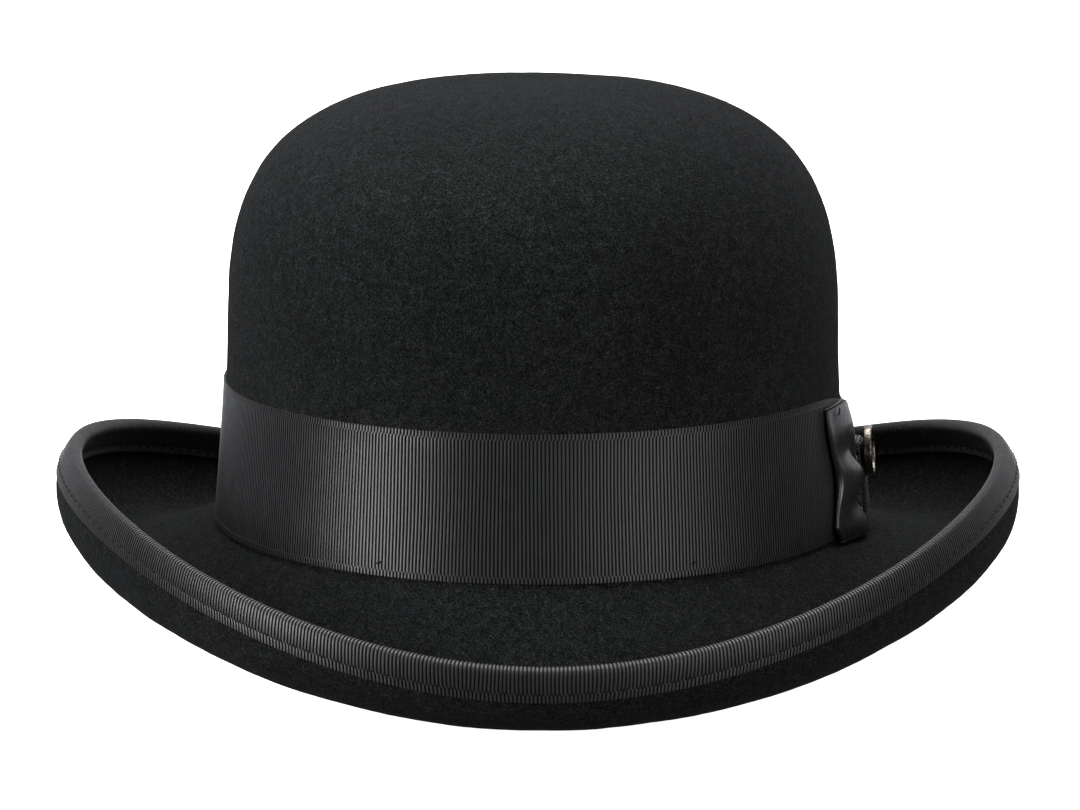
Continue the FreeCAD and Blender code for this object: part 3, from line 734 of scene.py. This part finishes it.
# ---- bow
def side_point(y, z, height):
    """Points over the band's outside at an exact y."""
    half_width = wall_half_width(z)
    half_length = half_width + LENGTH_EXTRA
    x = half_width * np.sqrt(1 - (y / half_length) ** 2)
    lean = np.arctan2(y / half_length ** 2, x / half_width ** 2)
    return vectors(x + (AIR + RIBBON + height) / np.cos(lean), y, z)


def bow_base():
    """The flat strip under the loops; its upper edge stays behind the pin."""
    length, width = 54 * MM, 19 * MM
    along, across = np.meshgrid(np.linspace(0, length, 217), np.linspace(0, width, 13))
    grid = side_point(BOW_Y - length / 2 + along, BOW_Z - 8 * MM + across, AIR + 0.3 * MM)
    relief, grooves = ribbon_relief(along, across, width, 0.1 * MM)
    points, faces = slab(grid, 0.5 * MM, relief - 0.05 * MM, np.array([1.0, 0, 0]))
    piece = make_piece("bow_base_ribbon", points, faces, BAND_LOOK, "hat", "band_ribbon", "bow_base",
                       grooves=grooves)


def bow_loop(direction, name, node, seed, far, top_spread, fullness, open_by):
    """A loop of the band's ribbon: out over the crown's side, folded back, and pinched in the knot.

    far is how far it reaches, top_spread how much its upper edge rises, fullness how much it
    swells in pleats, and open_by the share of its reach at which it has opened out."""
    near = 1.6 * MM
    reach = far - near
    outer_run = np.linspace(0, 1, 190)
    fold_run = np.linspace(0, math.pi, 22)[1:-1]
    inner_run = np.linspace(1, 0, 60)
    w = np.linspace(-1, 1, 75)

    def spread(q):
        """0 in the knot and 1 at the fold: how far the gathered ribbon has opened out."""
        return np.sin(smooth(q, 0.12, open_by) * math.pi / 2) ** 0.8

    def z_of(q, w):
        low = BOW_Z - 10.2 * MM - 3.3 * MM * spread(q)
        high = BOW_Z + 7.0 * MM + top_spread * spread(q)
        return (low + high) / 2 + (high - low) / 2 * w

    def pleats(q, w):
        """Folds that start in the knot and die out towards the loop's end."""
        fade = (1 - 0.8 * smooth(q, 0.5, 1.0)) * smooth(q, 0.08, 0.4)
        return np.cos(TURN * (w + 0.11) / 0.81) * fade * (1 - 0.7 * smooth(w, 0.0, 0.8))

    def pinch(w):
        """Where the knot draws the fold in and lifts it: in the middle of the ribbon."""
        return np.exp(-((w + 0.1) / 0.5) ** 2)

    def outer_height(q, w):
        swell = (1.1 - 0.8 * w) * MM * np.sin(math.pi * smooth(q, 0.0, 1.0)) ** 0.9
        lifted = 1.3 * MM * pinch(w) * smooth(q, 0.5, 1.0)
        folds = pleats(q, w) * 1.6 * MM
        tacked = 0.5 * MM * smooth(q, 0.8, 1.0) + 0.5 * MM * smooth(w, 0.7, 1.0) * smooth(q, 0.3, 0.8)
        return 2.1 * MM + fullness * (swell + lifted + folds) - np.minimum(tacked, 0.6 * MM)

    def inner_height(q, w):
        return 1.15 * MM + 0.12 * MM * np.cos(3 * w) * (1 - q)
    rows = []
    for q in outer_run:
        rows.append((near + reach * q * np.ones_like(w), z_of(q, w), outer_height(q, w)))
    top, low = outer_height(1.0, w), inner_height(1.0, w)
    for a in fold_run:
        bulge = (top - low) / 2
        rows.append((far + bulge * math.sin(a) * 0.9, z_of(1.0, w),
                     (top + low) / 2 + bulge * math.cos(a)))
    for q in inner_run:
        rows.append((near + reach * q * np.ones_like(w), z_of(q, w), inner_height(q, w)))
    y = np.array([r[0] for r in rows])
    drawn_in = 1.3 * MM + fullness * (5.5 * MM * pinch(w)[None] + 4.0 * MM * smooth(-w[None], 0.75, 1.0))
    shrink = drawn_in * smooth(y, near + 0.3 * reach, far)
    y = BOW_Y + direction * (y - shrink)
    z = np.array([r[1] for r in rows])
    height = np.array([r[2] for r in rows])
    sway = soft_noise(vectors(y, z, 0.0), 22 * MM, seed) * 0.18 * MM
    grid = side_point(y, z, np.maximum(height + sway, 1.02 * MM))
    along = run_along(grid[:, len(w) // 2])[:, None]
    across = (w[None] + 1) / 2 * BAND_HEIGHT
    relief, grooves = ribbon_relief(along + 0 * across, across + 0 * along, BAND_HEIGHT, 0.08 * MM)
    centre = grid.mean(axis=0, keepdims=True)
    points, faces = slab(grid, RIBBON - 0.2 * MM, relief, grid - centre)
    # The loops get only 0.3 of the grooves' painted shade, so they read as smooth satin.
    piece = make_piece(name, points, faces, BOW_LOOK, "hat", "band_ribbon", node, grooves=0.3 * grooves)


KNOT_AXIS_LEVEL = np.array([math.cos(PIN_TURN), -math.sin(PIN_TURN), 0.0])
PIN_AXIS = KNOT_AXIS_LEVEL * math.cos(PIN_LEAN) + np.array([0, 0, math.sin(PIN_LEAN)])
KNOT_BACK = unit(np.cross([0.0, 0.0, 1.0], PIN_AXIS))
KNOT_UP = unit(np.cross(PIN_AXIS, KNOT_BACK))
KNOT_SEAT = side_point(BOW_Y, BOW_Z, 0.0)


def knot_point(back, up, out):
    return KNOT_SEAT + KNOT_BACK * back[..., None] + KNOT_UP * up[..., None] + PIN_AXIS * out[..., None]


def bow_knot():
    """The short ribbon that is wrapped round both loops, gathered across its width."""
    ribbon = RIBBON + 0.1 * MM
    half = KNOT_HEIGHT / 2 - ribbon / 2
    depth = KNOT_DEPTH - ribbon / 2
    foot = 1.4 * MM
    corner = 1.5 * MM
    top = half - 3.0 * MM
    path = [(-half, o) for o in np.linspace(foot, depth - corner, 18)]
    path += [(-half + corner * (1 - math.cos(a)), depth - corner + corner * math.sin(a))
             for a in np.linspace(0, math.pi / 2, 14)[1:]]
    path += [(u, depth) for u in np.linspace(-half + corner, top - corner, 122)[1:]]
    path += [(top - corner * (1 - math.sin(a)), depth - corner + corner * math.cos(a))
             for a in np.linspace(0, math.pi / 2, 14)[1:]]
    path += [(top, o) for o in np.linspace(depth - corner, foot, 18)[1:]]
    path = np.array(path)
    along = run_along(path)[:, None]
    w = np.linspace(-1, 1, 41)[None]
    waist = 1 - 0.06 * np.cos(path[:, :1] / half * math.pi / 2)
    back = w * (KNOT_LENGTH / 2 - 0.25 * MM) * waist
    fold = -0.34 * MM * np.exp(-((w - 0.30) / 0.11) ** 2) - 0.3 * MM * np.exp(-((w + 0.36) / 0.10) ** 2)
    rolled = -0.55 * MM * smooth(np.abs(w), 0.8, 1.0)
    share = path[:, 1:] / depth
    out = path[:, 1:] + (fold + rolled) * smooth(share, 0.3, 0.9)
    up = path[:, :1] + 0 * w
    grid = knot_point(back, up, out)
    grooves = rib_grooves(along + 0 * w, RIB_PITCH)
    relief = (0.2 - grooves) * 0.26 * MM
    points, faces = slab(grid, ribbon - 0.2 * MM, relief, grid - KNOT_SEAT)
    piece = make_piece("knot_ribbon", points, faces, BINDING_LOOK, "hat", "band_ribbon", "bow_knot",
                       grooves=grooves)


def bow_tacks():
    y = np.array([BOW_Y + d * (BOW_HALF_LENGTH - 1.2 * MM) for d in (-1, -1, 1, 1)])
    z = np.array([BOW_Z - 12 * MM, BOW_Z + 22 * MM] * 2)
    centres = side_point(y, z, 2.5 * MM)
    out = unit(centres * LEVEL)
    along = np.array([[0, 0.4, 1.0]] * 4)
    thread_stitches("bow_tacks", centres, along, out, 2.6 * MM, 0.6 * MM, 0.5 * MM, "bow_tack_stitches")


# ---- pin
PIN_SEAT = KNOT_SEAT + KNOT_UP * (PIN_Z - BOW_Z) + PIN_AXIS * (KNOT_DEPTH + PIN_GAP)


def turned_piece(name, profile, material, slot, node, petals=0, petal_height=0.0, columns=96):
    """A closed solid turned about the pin's axis. profile is (radius, out) round its section."""
    profile = np.array(profile)
    angle = np.linspace(0, TURN, columns, endpoint=False)
    radius, out = profile[:, :1], profile[:, 1:]
    if petals:
        ring = np.exp(-((radius / radius.max() - 0.55) / 0.22) ** 2) * (out > out.mean())
        out = out + np.cos(petals * angle)[None] * ring * petal_height
    points = (PIN_SEAT + KNOT_BACK * (radius * np.cos(angle)[None])[..., None]
              + KNOT_UP * (radius * np.sin(angle)[None])[..., None]
              + PIN_AXIS * (out + 0 * angle[None])[..., None])
    has_hole = profile[0, 0] > 1e-9
    faces = [grid_faces(len(profile), columns, has_hole, True)]
    make_piece(name, points, faces, material, "pin", slot, node)


def round_corner(before, here, after, radius, steps):
    """Points of an outline's corner, rounded between its neighbours."""
    a, b = before - here, after - here
    cut = min(radius, np.linalg.norm(a) / 2.01, np.linalg.norm(b) / 2.01)
    start, end = here + unit(a) * cut, here + unit(b) * cut
    return [(1 - s) ** 2 * start + 2 * s * (1 - s) * here + s ** 2 * end for s in np.linspace(0, 1, steps)]


def rounded(points, radius, steps=6):
    """A closed outline of (radius, out) points with its corners rounded."""
    points = np.array(points)
    after = np.roll(points, -1, axis=0)
    return [p for k in range(len(points))
            for p in round_corner(points[k - 1], points[k], after[k], radius, steps)]


def disc(points, radius, steps=6):
    """An outline that starts and ends on the axis: its corners off the axis are rounded."""
    points = np.array(points)
    off_axis = [p for k in range(1, len(points) - 1)
                for p in round_corner(points[k - 1], points[k], points[k + 1], radius, steps)]
    return [points[0], *off_axis, points[-1]]


def pin():
    inner = PIN_RADIUS - 0.98 * MM
    hole = POST_RADIUS + 0.02 * MM
    outline = rounded([(hole, 0.0), (PIN_RADIUS, 0.0), (PIN_RADIUS, 2.3 * MM), (inner, 2.3 * MM),
                       (inner, 0.33 * MM), (hole, 0.33 * MM)], 0.55 * MM)
    turned_piece("pin_rim", outline, PIN_METAL_LOOK, "pin_metal", "pin_bezel", columns=128)
    face = PIN_RADIUS - 1.02 * MM
    low, high = 0.36 * MM, 1.7 * MM
    dome = [(0.0, low), (face, low), (face, high - 0.35 * MM)]
    dome += [(face * math.cos(a), high - 0.35 * MM + 0.35 * MM * math.sin(a))
             for a in np.linspace(0, math.pi / 2, 26)[1:-1]]
    dome += [(0.0, high)]
    turned_piece("pin_enamel_face", disc(dome, 0.15 * MM, 3), ENAMEL_LOOK, "pin_enamel", "pin_face",
                 12, 0.09 * MM, 192)
    clutch_start = -(KNOT_DEPTH + PIN_GAP + AIR + RIBBON + FELT + CLUTCH_GAP + CLUTCH_DEPTH)
    post = [(0.0, clutch_start + 0.1 * MM), (POST_RADIUS * 0.25, clutch_start + 0.1 * MM),
            (POST_RADIUS, clutch_start + 0.7 * MM), (POST_RADIUS, 0.3 * MM), (0.0, 0.3 * MM)]
    turned_piece("pin_needle", disc(post, 0.08 * MM, 3), PIN_METAL_LOOK, "pin_metal", "pin_post",
                 columns=32)
    end = clutch_start + CLUTCH_DEPTH
    clutch = rounded([(hole, clutch_start), (CLUTCH_RADIUS * 0.55, clutch_start),
                      (CLUTCH_RADIUS * 0.6, clutch_start + 1.2 * MM),
                      (CLUTCH_RADIUS, clutch_start + 1.7 * MM), (CLUTCH_RADIUS, end), (hole, end)],
                     0.35 * MM)
    turned_piece("pin_clutch_cap", clutch, BRASS_LOOK, "clutch_metal", "pin_clutch", columns=72)


# ---- sweatband
def inner_point(theta, z, inwards):
    return wall_oval(theta, z, -FELT - inwards)


def sweatband_gap(theta, z):
    away_y = -(CROWN_HALF_WIDTH + LENGTH_EXTRA) * np.cos(theta) - BOW_Y
    near = np.exp(-((z - PIN_Z) ** 2 + away_y ** 2) / BULGE_SPREAD ** 2)
    bulge = np.where(np.sin(theta) > 0, CLUTCH_BULGE * near, 0.0)
    return SWEATBAND_GAP + SWEATBAND_LEAN * np.maximum(z, 0.0) / SWEATBAND_HEIGHT + bulge


def sweatband():
    slit = 0.3 * MM / (CROWN_HALF_WIDTH - FELT)
    theta = np.linspace(math.pi + slit, 3 * math.pi - slit, 421)[None]
    z = np.concatenate([[0, 0.4, 1.2, 1.6, 2.0, 3.2], np.linspace(6, 55, 18), [57, 58]])[:, None] * MM
    slack = soft_noise(oval(theta, 0.084, 0.096, z), 45 * MM, 41) * 0.22 * MM * smooth(z, 6 * MM, 50 * MM)
    sewn = -0.16 * MM * np.exp(-((z - 1.6 * MM) / (0.5 * MM)) ** 2)
    grid = inner_point(theta, z, sweatband_gap(theta, z) + LEATHER / 2 + np.abs(slack))
    points, faces = slab(grid, LEATHER, sewn, -grid * LEVEL)
    piece = make_piece("sweatband_strip", points, faces, LEATHER_LOOK, "hat", "leather", "sweatband")
    _, length = even_thetas(lambda t: inner_point(t, 30 * MM, 3 * MM), 10)


def round_tube(name, path, frames, radius, material, slot, node, sides=14):
    """A closed tube of round section. frames are the two directions across the path."""
    a = np.linspace(0, TURN, sides, endpoint=False)
    points = (path[None] + frames[0][None] * (np.cos(a) * radius)[:, None, None]
              + frames[1][None] * (np.sin(a) * radius)[:, None, None])
    make_piece(name, points, [grid_faces(sides, len(path), True, True)], material, "hat", slot, node)


def reed():
    theta = np.linspace(0, TURN, 420, endpoint=False)
    middle = SWEATBAND_GAP + LEATHER / 2
    path = inner_point(theta, -REED_RADIUS - 0.1 * MM, middle)
    up = vectors(0 * theta, 0.0, 1.0)
    tangent = unit(np.roll(path, -1, axis=0) - np.roll(path, 1, axis=0))
    round_tube("sweatband_reed_tube", path, (np.cross(tangent, up), up), REED_RADIUS, REED_LOOK,
               "reed", "sweatband_reed")


def seam_tape():
    z = np.linspace(4, 54, 41)[:, None] * MM
    x = np.linspace(-7, 7, 15)[None] * MM
    gap = SWEATBAND_GAP + SWEATBAND_LEAN * z / SWEATBAND_HEIGHT - 0.1 * MM
    half_width = wall_half_width(z) - FELT - gap
    y = (half_width + LENGTH_EXTRA) * np.sqrt(1 - (x / half_width) ** 2) + 0.175 * MM
    points, faces = slab(vectors(x, y, z), 0.33 * MM, 0.0, np.array([0, 1.0, 0]))
    piece = make_piece("seam_tape_strip", points, faces, TAPE_LOOK, "hat", "tape", "sweatband_seam_tape")


def sweatband_seam():
    def seam(theta):
        return inner_point(theta, 1.6 * MM, SWEATBAND_GAP + LEATHER + 0.05 * MM)
    pitch = 6.5 * MM
    _, length = even_thetas(seam, 10)
    theta, _ = even_thetas(seam, int(round(length / pitch)) * 2)
    theta = theta[1::2]
    centres = seam(theta)
    out = -unit(centres * LEVEL)
    thread_stitches("sweatband_seam_thread", centres, seam(theta + TINY) - seam(theta - TINY), out,
                    4.0 * MM, 0.55 * MM, 0.3 * MM, "sweatband_stitches")


def sweatband_bow():
    """A small flat ribbon bow on the sweatband's joint: two loops and a wrapped middle."""
    z = 15.0 * MM
    inside = SWEATBAND_GAP + SWEATBAND_LEAN * z / SWEATBAND_HEIGHT + LEATHER + 0.9 * MM
    y_middle = wall_half_width(z) - FELT - inside + LENGTH_EXTRA - 1.6 * MM
    run, bend = 30, 7
    q = np.concatenate([np.linspace(0, 1, run), np.ones(bend), np.linspace(1, 0, run)])[:, None]
    turn = np.interp(np.arange(2 * run + bend), [run - 1, run + bend], [0, math.pi])[:, None]
    w = np.linspace(-1, 1, 13)[None]
    half = (1.9 + 2.6 * np.sin(q * math.pi / 2)) * MM
    puff = (0.35 + 0.55 * np.sin(q * math.pi * 0.8)) * MM
    all_points, all_faces, first = [], [[], []], 0
    for side in (-1, 1):
        x = side * (1.5 + 9.2 * q + 0.7 * np.sin(turn)) * MM
        grid = vectors(x, y_middle - np.cos(turn) * puff, z + half * w)
        points, faces = slab(grid, 0.3 * MM, 0.0, grid - grid.mean(axis=0, keepdims=True))
        all_points.append(points)
        for kept, f in zip(all_faces, oriented(points, faces)):
            kept.append(f + first)
        first += len(points)
    around, across = 40, 9
    a = np.linspace(0, TURN, around, endpoint=False)[:, None]
    w = np.linspace(-1, 1, across)[None]
    out, up = (np.abs(f(a)) ** 0.5 * np.sign(f(a)) for f in (np.cos, np.sin))
    outer, inner = first, first + around * across
    for depth, start, flip in ((0.0, outer, 1), (0.3, inner, -1)):
        points = vectors(1.5 * MM * w, y_middle + (1.2 - depth) * MM * out, z + (2.5 - depth) * MM * up)
        all_points.append(points.reshape(-1, 3))
        all_faces[0].append(grid_faces(around, across, True, False, start)[:, ::flip])
    row = np.arange(around) * across
    following = np.roll(row, -1)
    for column, flip in ((0, 1), (across - 1, -1)):
        rim = np.stack([outer + row, outer + following, inner + following, inner + row], -1) + column
        all_faces[0].append(rim[:, ::flip])
    piece = make_piece("sweatband_bow_ribbon", np.concatenate(all_points),
                       [np.concatenate(f) for f in all_faces], BAND_LOOK, "hat", "sweatband_ribbon",
                       "sweatband_bow")


# ---- lining
LINING_DEPTH = -FELT - LINING_GAP - SATIN / 2


def lining_side():
    """The satin round the crown's inside: plain at its lower edge, gathered into the tip's seam."""
    theta = np.linspace(0, TURN, 960, endpoint=False)
    low_t = float(wall_t(np.array(math.pi / 2), LINING_LOW_Z))
    rows = [("wall", t) for t in np.linspace(low_t, 0.0, 4)]
    rows += [("dome", t) for t in np.linspace(0.0, LINING_SEAM - 0.012, 34)[1:]]
    grid = np.array([layer(theta, zone, t, LINING_DEPTH) for zone, t in rows])
    rise = np.linspace(0, 1, len(rows))[:, None]
    normals = np.array([skin_normal(theta, zone, t) for zone, t in rows])
    drift = soft_noise(grid * np.array([1, 1, 0.25]), 16 * MM, 51) * 1.4
    gathers = np.cos(GATHERS * theta[None] + drift) * 0.5 + 0.5
    depth = gathers * (0.25 + 0.75 * rise) * (1 - 0.72 * smooth(rise, 0.86, 1.0)) * 0.75 * MM
    billow = (soft_noise(grid, 30 * MM, 52) + 1.2) * 0.25 * MM * np.sin(rise * math.pi)
    grid = grid - normals * (depth + np.maximum(billow, 0.0))[..., None]
    points, faces = slab(grid, SATIN * 0.6, 0.0, -normals, True, [0, 18, len(rows) - 1])
    piece = make_piece("lining_side_satin", points, faces, SATIN_LOOK, "hat", "satin", "lining_side")


def lining_tip():
    """The satin oval in the top of the crown, with a few soft wrinkles."""
    theta = np.linspace(0, TURN, 360, endpoint=False)
    rows = even_dome_t(44, LINING_SEAM + 0.012, 1.0)[1:]
    grid = np.array([layer(theta, "dome", t, LINING_DEPTH) for t in rows])
    normals = np.array([skin_normal(theta, "dome", t) for t in rows])
    wrinkles = (soft_noise(grid, 26 * MM, 53) + 1.0) * 0.22 * MM
    outwards = np.linspace(0, 1, len(rows))[:, None]
    puckers = (np.cos(GATHERS * theta[None]) + 1) * 0.12 * MM * smooth(outwards, 0.75, 1)
    grid = grid - normals * (np.maximum(wrinkles, 0.0) + puckers)[..., None]
    top = grid - normals * SATIN * 0.3
    under = grid + normals * SATIN * 0.3
    points, faces = capped(np.concatenate([top, under[::-1]]), [0, 0, top[0, :, 2].mean()],
                           [0, 0, under[0, :, 2].mean()])
    piece = make_piece("lining_tip_satin", points, faces, SATIN_LOOK, "hat", "satin", "lining_tip")


def lining_piping():
    theta = np.linspace(0, TURN, 480, endpoint=False)
    depth = -FELT - LINING_GAP - SATIN - PIPING_RADIUS - 0.05 * MM
    path = layer(theta, "dome", LINING_SEAM, depth)
    normal = skin_normal(theta, "dome", LINING_SEAM)
    down = unit(skin(theta, "dome", LINING_SEAM - TINY) - skin(theta, "dome", LINING_SEAM + TINY))
    round_tube("lining_piping_cord", path, (normal, down), PIPING_RADIUS, PIPING_LOOK, "piping",
               "lining_piping")


# ---- floor, light and camera
def floor():
    look = Look("studio_floor")
    grain = look.noise(40.0, 3.0)
    material = look.finish(Base_Color=look.ramp(grain, (0.3, 0.90), (0.7, 0.92)), Roughness=0.9,
                           Specular_IOR_Level=0.1, Emission_Color=(1.0, 1.0, 1.0),
                           Emission_Strength=1.0)
    half = 6.0
    corners = [(-half, -half, 0), (half, -half, 0), (half, half, 0), (-half, half, 0)]
    mesh = bpy.data.meshes.new("floor")
    mesh.from_pydata(corners, [], [(0, 1, 2, 3)])
    mesh.materials.append(material)
    ground = bpy.data.objects.new("floor", mesh)
    ground.location.z = -0.3 * MM
    ground.visible_diffuse = False
    ground.visible_glossy = False
    bpy.context.scene.collection.objects.link(ground)


def softbox(name, azimuth, elevation, distance, width, height, power):
    """A rectangular light on a sphere round the hat. Azimuth 0 is the front, 90 the hat's left."""
    light = bpy.data.lights.new(name, "AREA")
    light.shape = "RECTANGLE"
    light.size, light.size_y = width, height
    light.energy = power
    a, e = math.radians(azimuth), math.radians(elevation)
    away = Vector((math.sin(a) * math.cos(e), -math.cos(a) * math.cos(e), math.sin(e)))
    lamp = bpy.data.objects.new(name, light)
    lamp.location = Vector((0, 0, 0.07)) + away * distance
    lamp.rotation_mode = "QUATERNION"
    lamp.rotation_quaternion = away.to_track_quat("Z", "Y")
    bpy.context.scene.collection.objects.link(lamp)


ROOM_LIGHT = 0.19
BACKDROP_LIGHT = 1.1


def studio_world():
    """A dim room with a white backdrop behind the hat, which the ribbon's sides reflect."""
    world = bpy.data.worlds.new("studio")
    world.use_nodes = True
    tree = world.node_tree
    place = add_node(tree, "ShaderNodeTexCoord")
    split = add_node(tree, "ShaderNodeSeparateXYZ")
    tree.links.new(place.outputs["Generated"], split.inputs["Vector"])
    brightness = add_node(tree, "ShaderNodeMapRange", interpolation_type="SMOOTHSTEP",
                          **{"From Min": 0.55, "From Max": 0.95, "To Min": ROOM_LIGHT,
                             "To Max": BACKDROP_LIGHT})
    tree.links.new(split.outputs["Y"], brightness.inputs["Value"])
    background = tree.nodes["Background"]
    background.inputs["Color"].default_value = (0.95, 0.97, 1.0, 1.0)
    tree.links.new(brightness.outputs["Result"], background.inputs["Strength"])
    bpy.context.scene.world = world


def lights():
    studio_world()
    softbox("top_box", 180, 78, 1.9, 2.0, 1.6, 74)
    softbox("left_box", -63, 14, 1.5, 0.5, 0.7, 28)
    softbox("right_box", 46, 12, 1.6, 1.4, 0.6, 14)


CAMERA_TURN = math.radians(0.82)
CAMERA_RISE = math.radians(9.55)
CAMERA_ROLL = math.radians(0.17)
CAMERA_AWAY = 1.5
CAMERA_LENS = 181.4


def camera():
    data = bpy.data.cameras.new("camera")
    data.lens = CAMERA_LENS
    data.sensor_width = 36.0
    data.clip_start, data.clip_end = 0.05, 50.0
    eye = bpy.data.objects.new("camera", data)
    turned = Matrix.Rotation(-CAMERA_TURN, 3, "Z")
    look = turned @ Vector((0, math.cos(CAMERA_RISE), -math.sin(CAMERA_RISE)))
    target = turned @ Vector((2.03 * MM, 0, 30.28 * MM)) + Vector(TO_ROW)
    eye.location = target - look * CAMERA_AWAY
    eye.rotation_mode = "QUATERNION"
    roll = Matrix.Rotation(CAMERA_ROLL, 3, "Z").to_quaternion()
    eye.rotation_quaternion = look.to_track_quat("-Z", "Y") @ roll
    bpy.context.scene.collection.objects.link(eye)
    bpy.context.scene.camera = eye


# ---- build
felt_shell()
binding()
binding_seam("binding_outside_thread", -FELT - AIR - RIBBON - 0.08 * MM, -1, "binding_outer_stitches")
binding_seam("binding_inside_thread", AIR + RIBBON + 0.08 * MM, 1, "binding_inner_stitches")
hat_band()
band_tacks()
bow_base()
bow_loop(-1, "front_loop_ribbon", "bow_front_loop", 61, far=BOW_HALF_LENGTH + 6.0 * MM,
         top_spread=16.5 * MM, fullness=1.0, open_by=0.62)
bow_loop(1, "back_loop_ribbon", "bow_back_loop", 62, far=BOW_HALF_LENGTH, top_spread=10.2 * MM,
         fullness=0.8, open_by=0.3)
bow_knot()
bow_tacks()
pin()
sweatband()
reed()
seam_tape()
sweatband_seam()
sweatband_bow()
lining_side()
lining_tip()
lining_piping()
floor()
lights()
camera()
bpy.context.scene.view_settings.view_transform = "Standard"
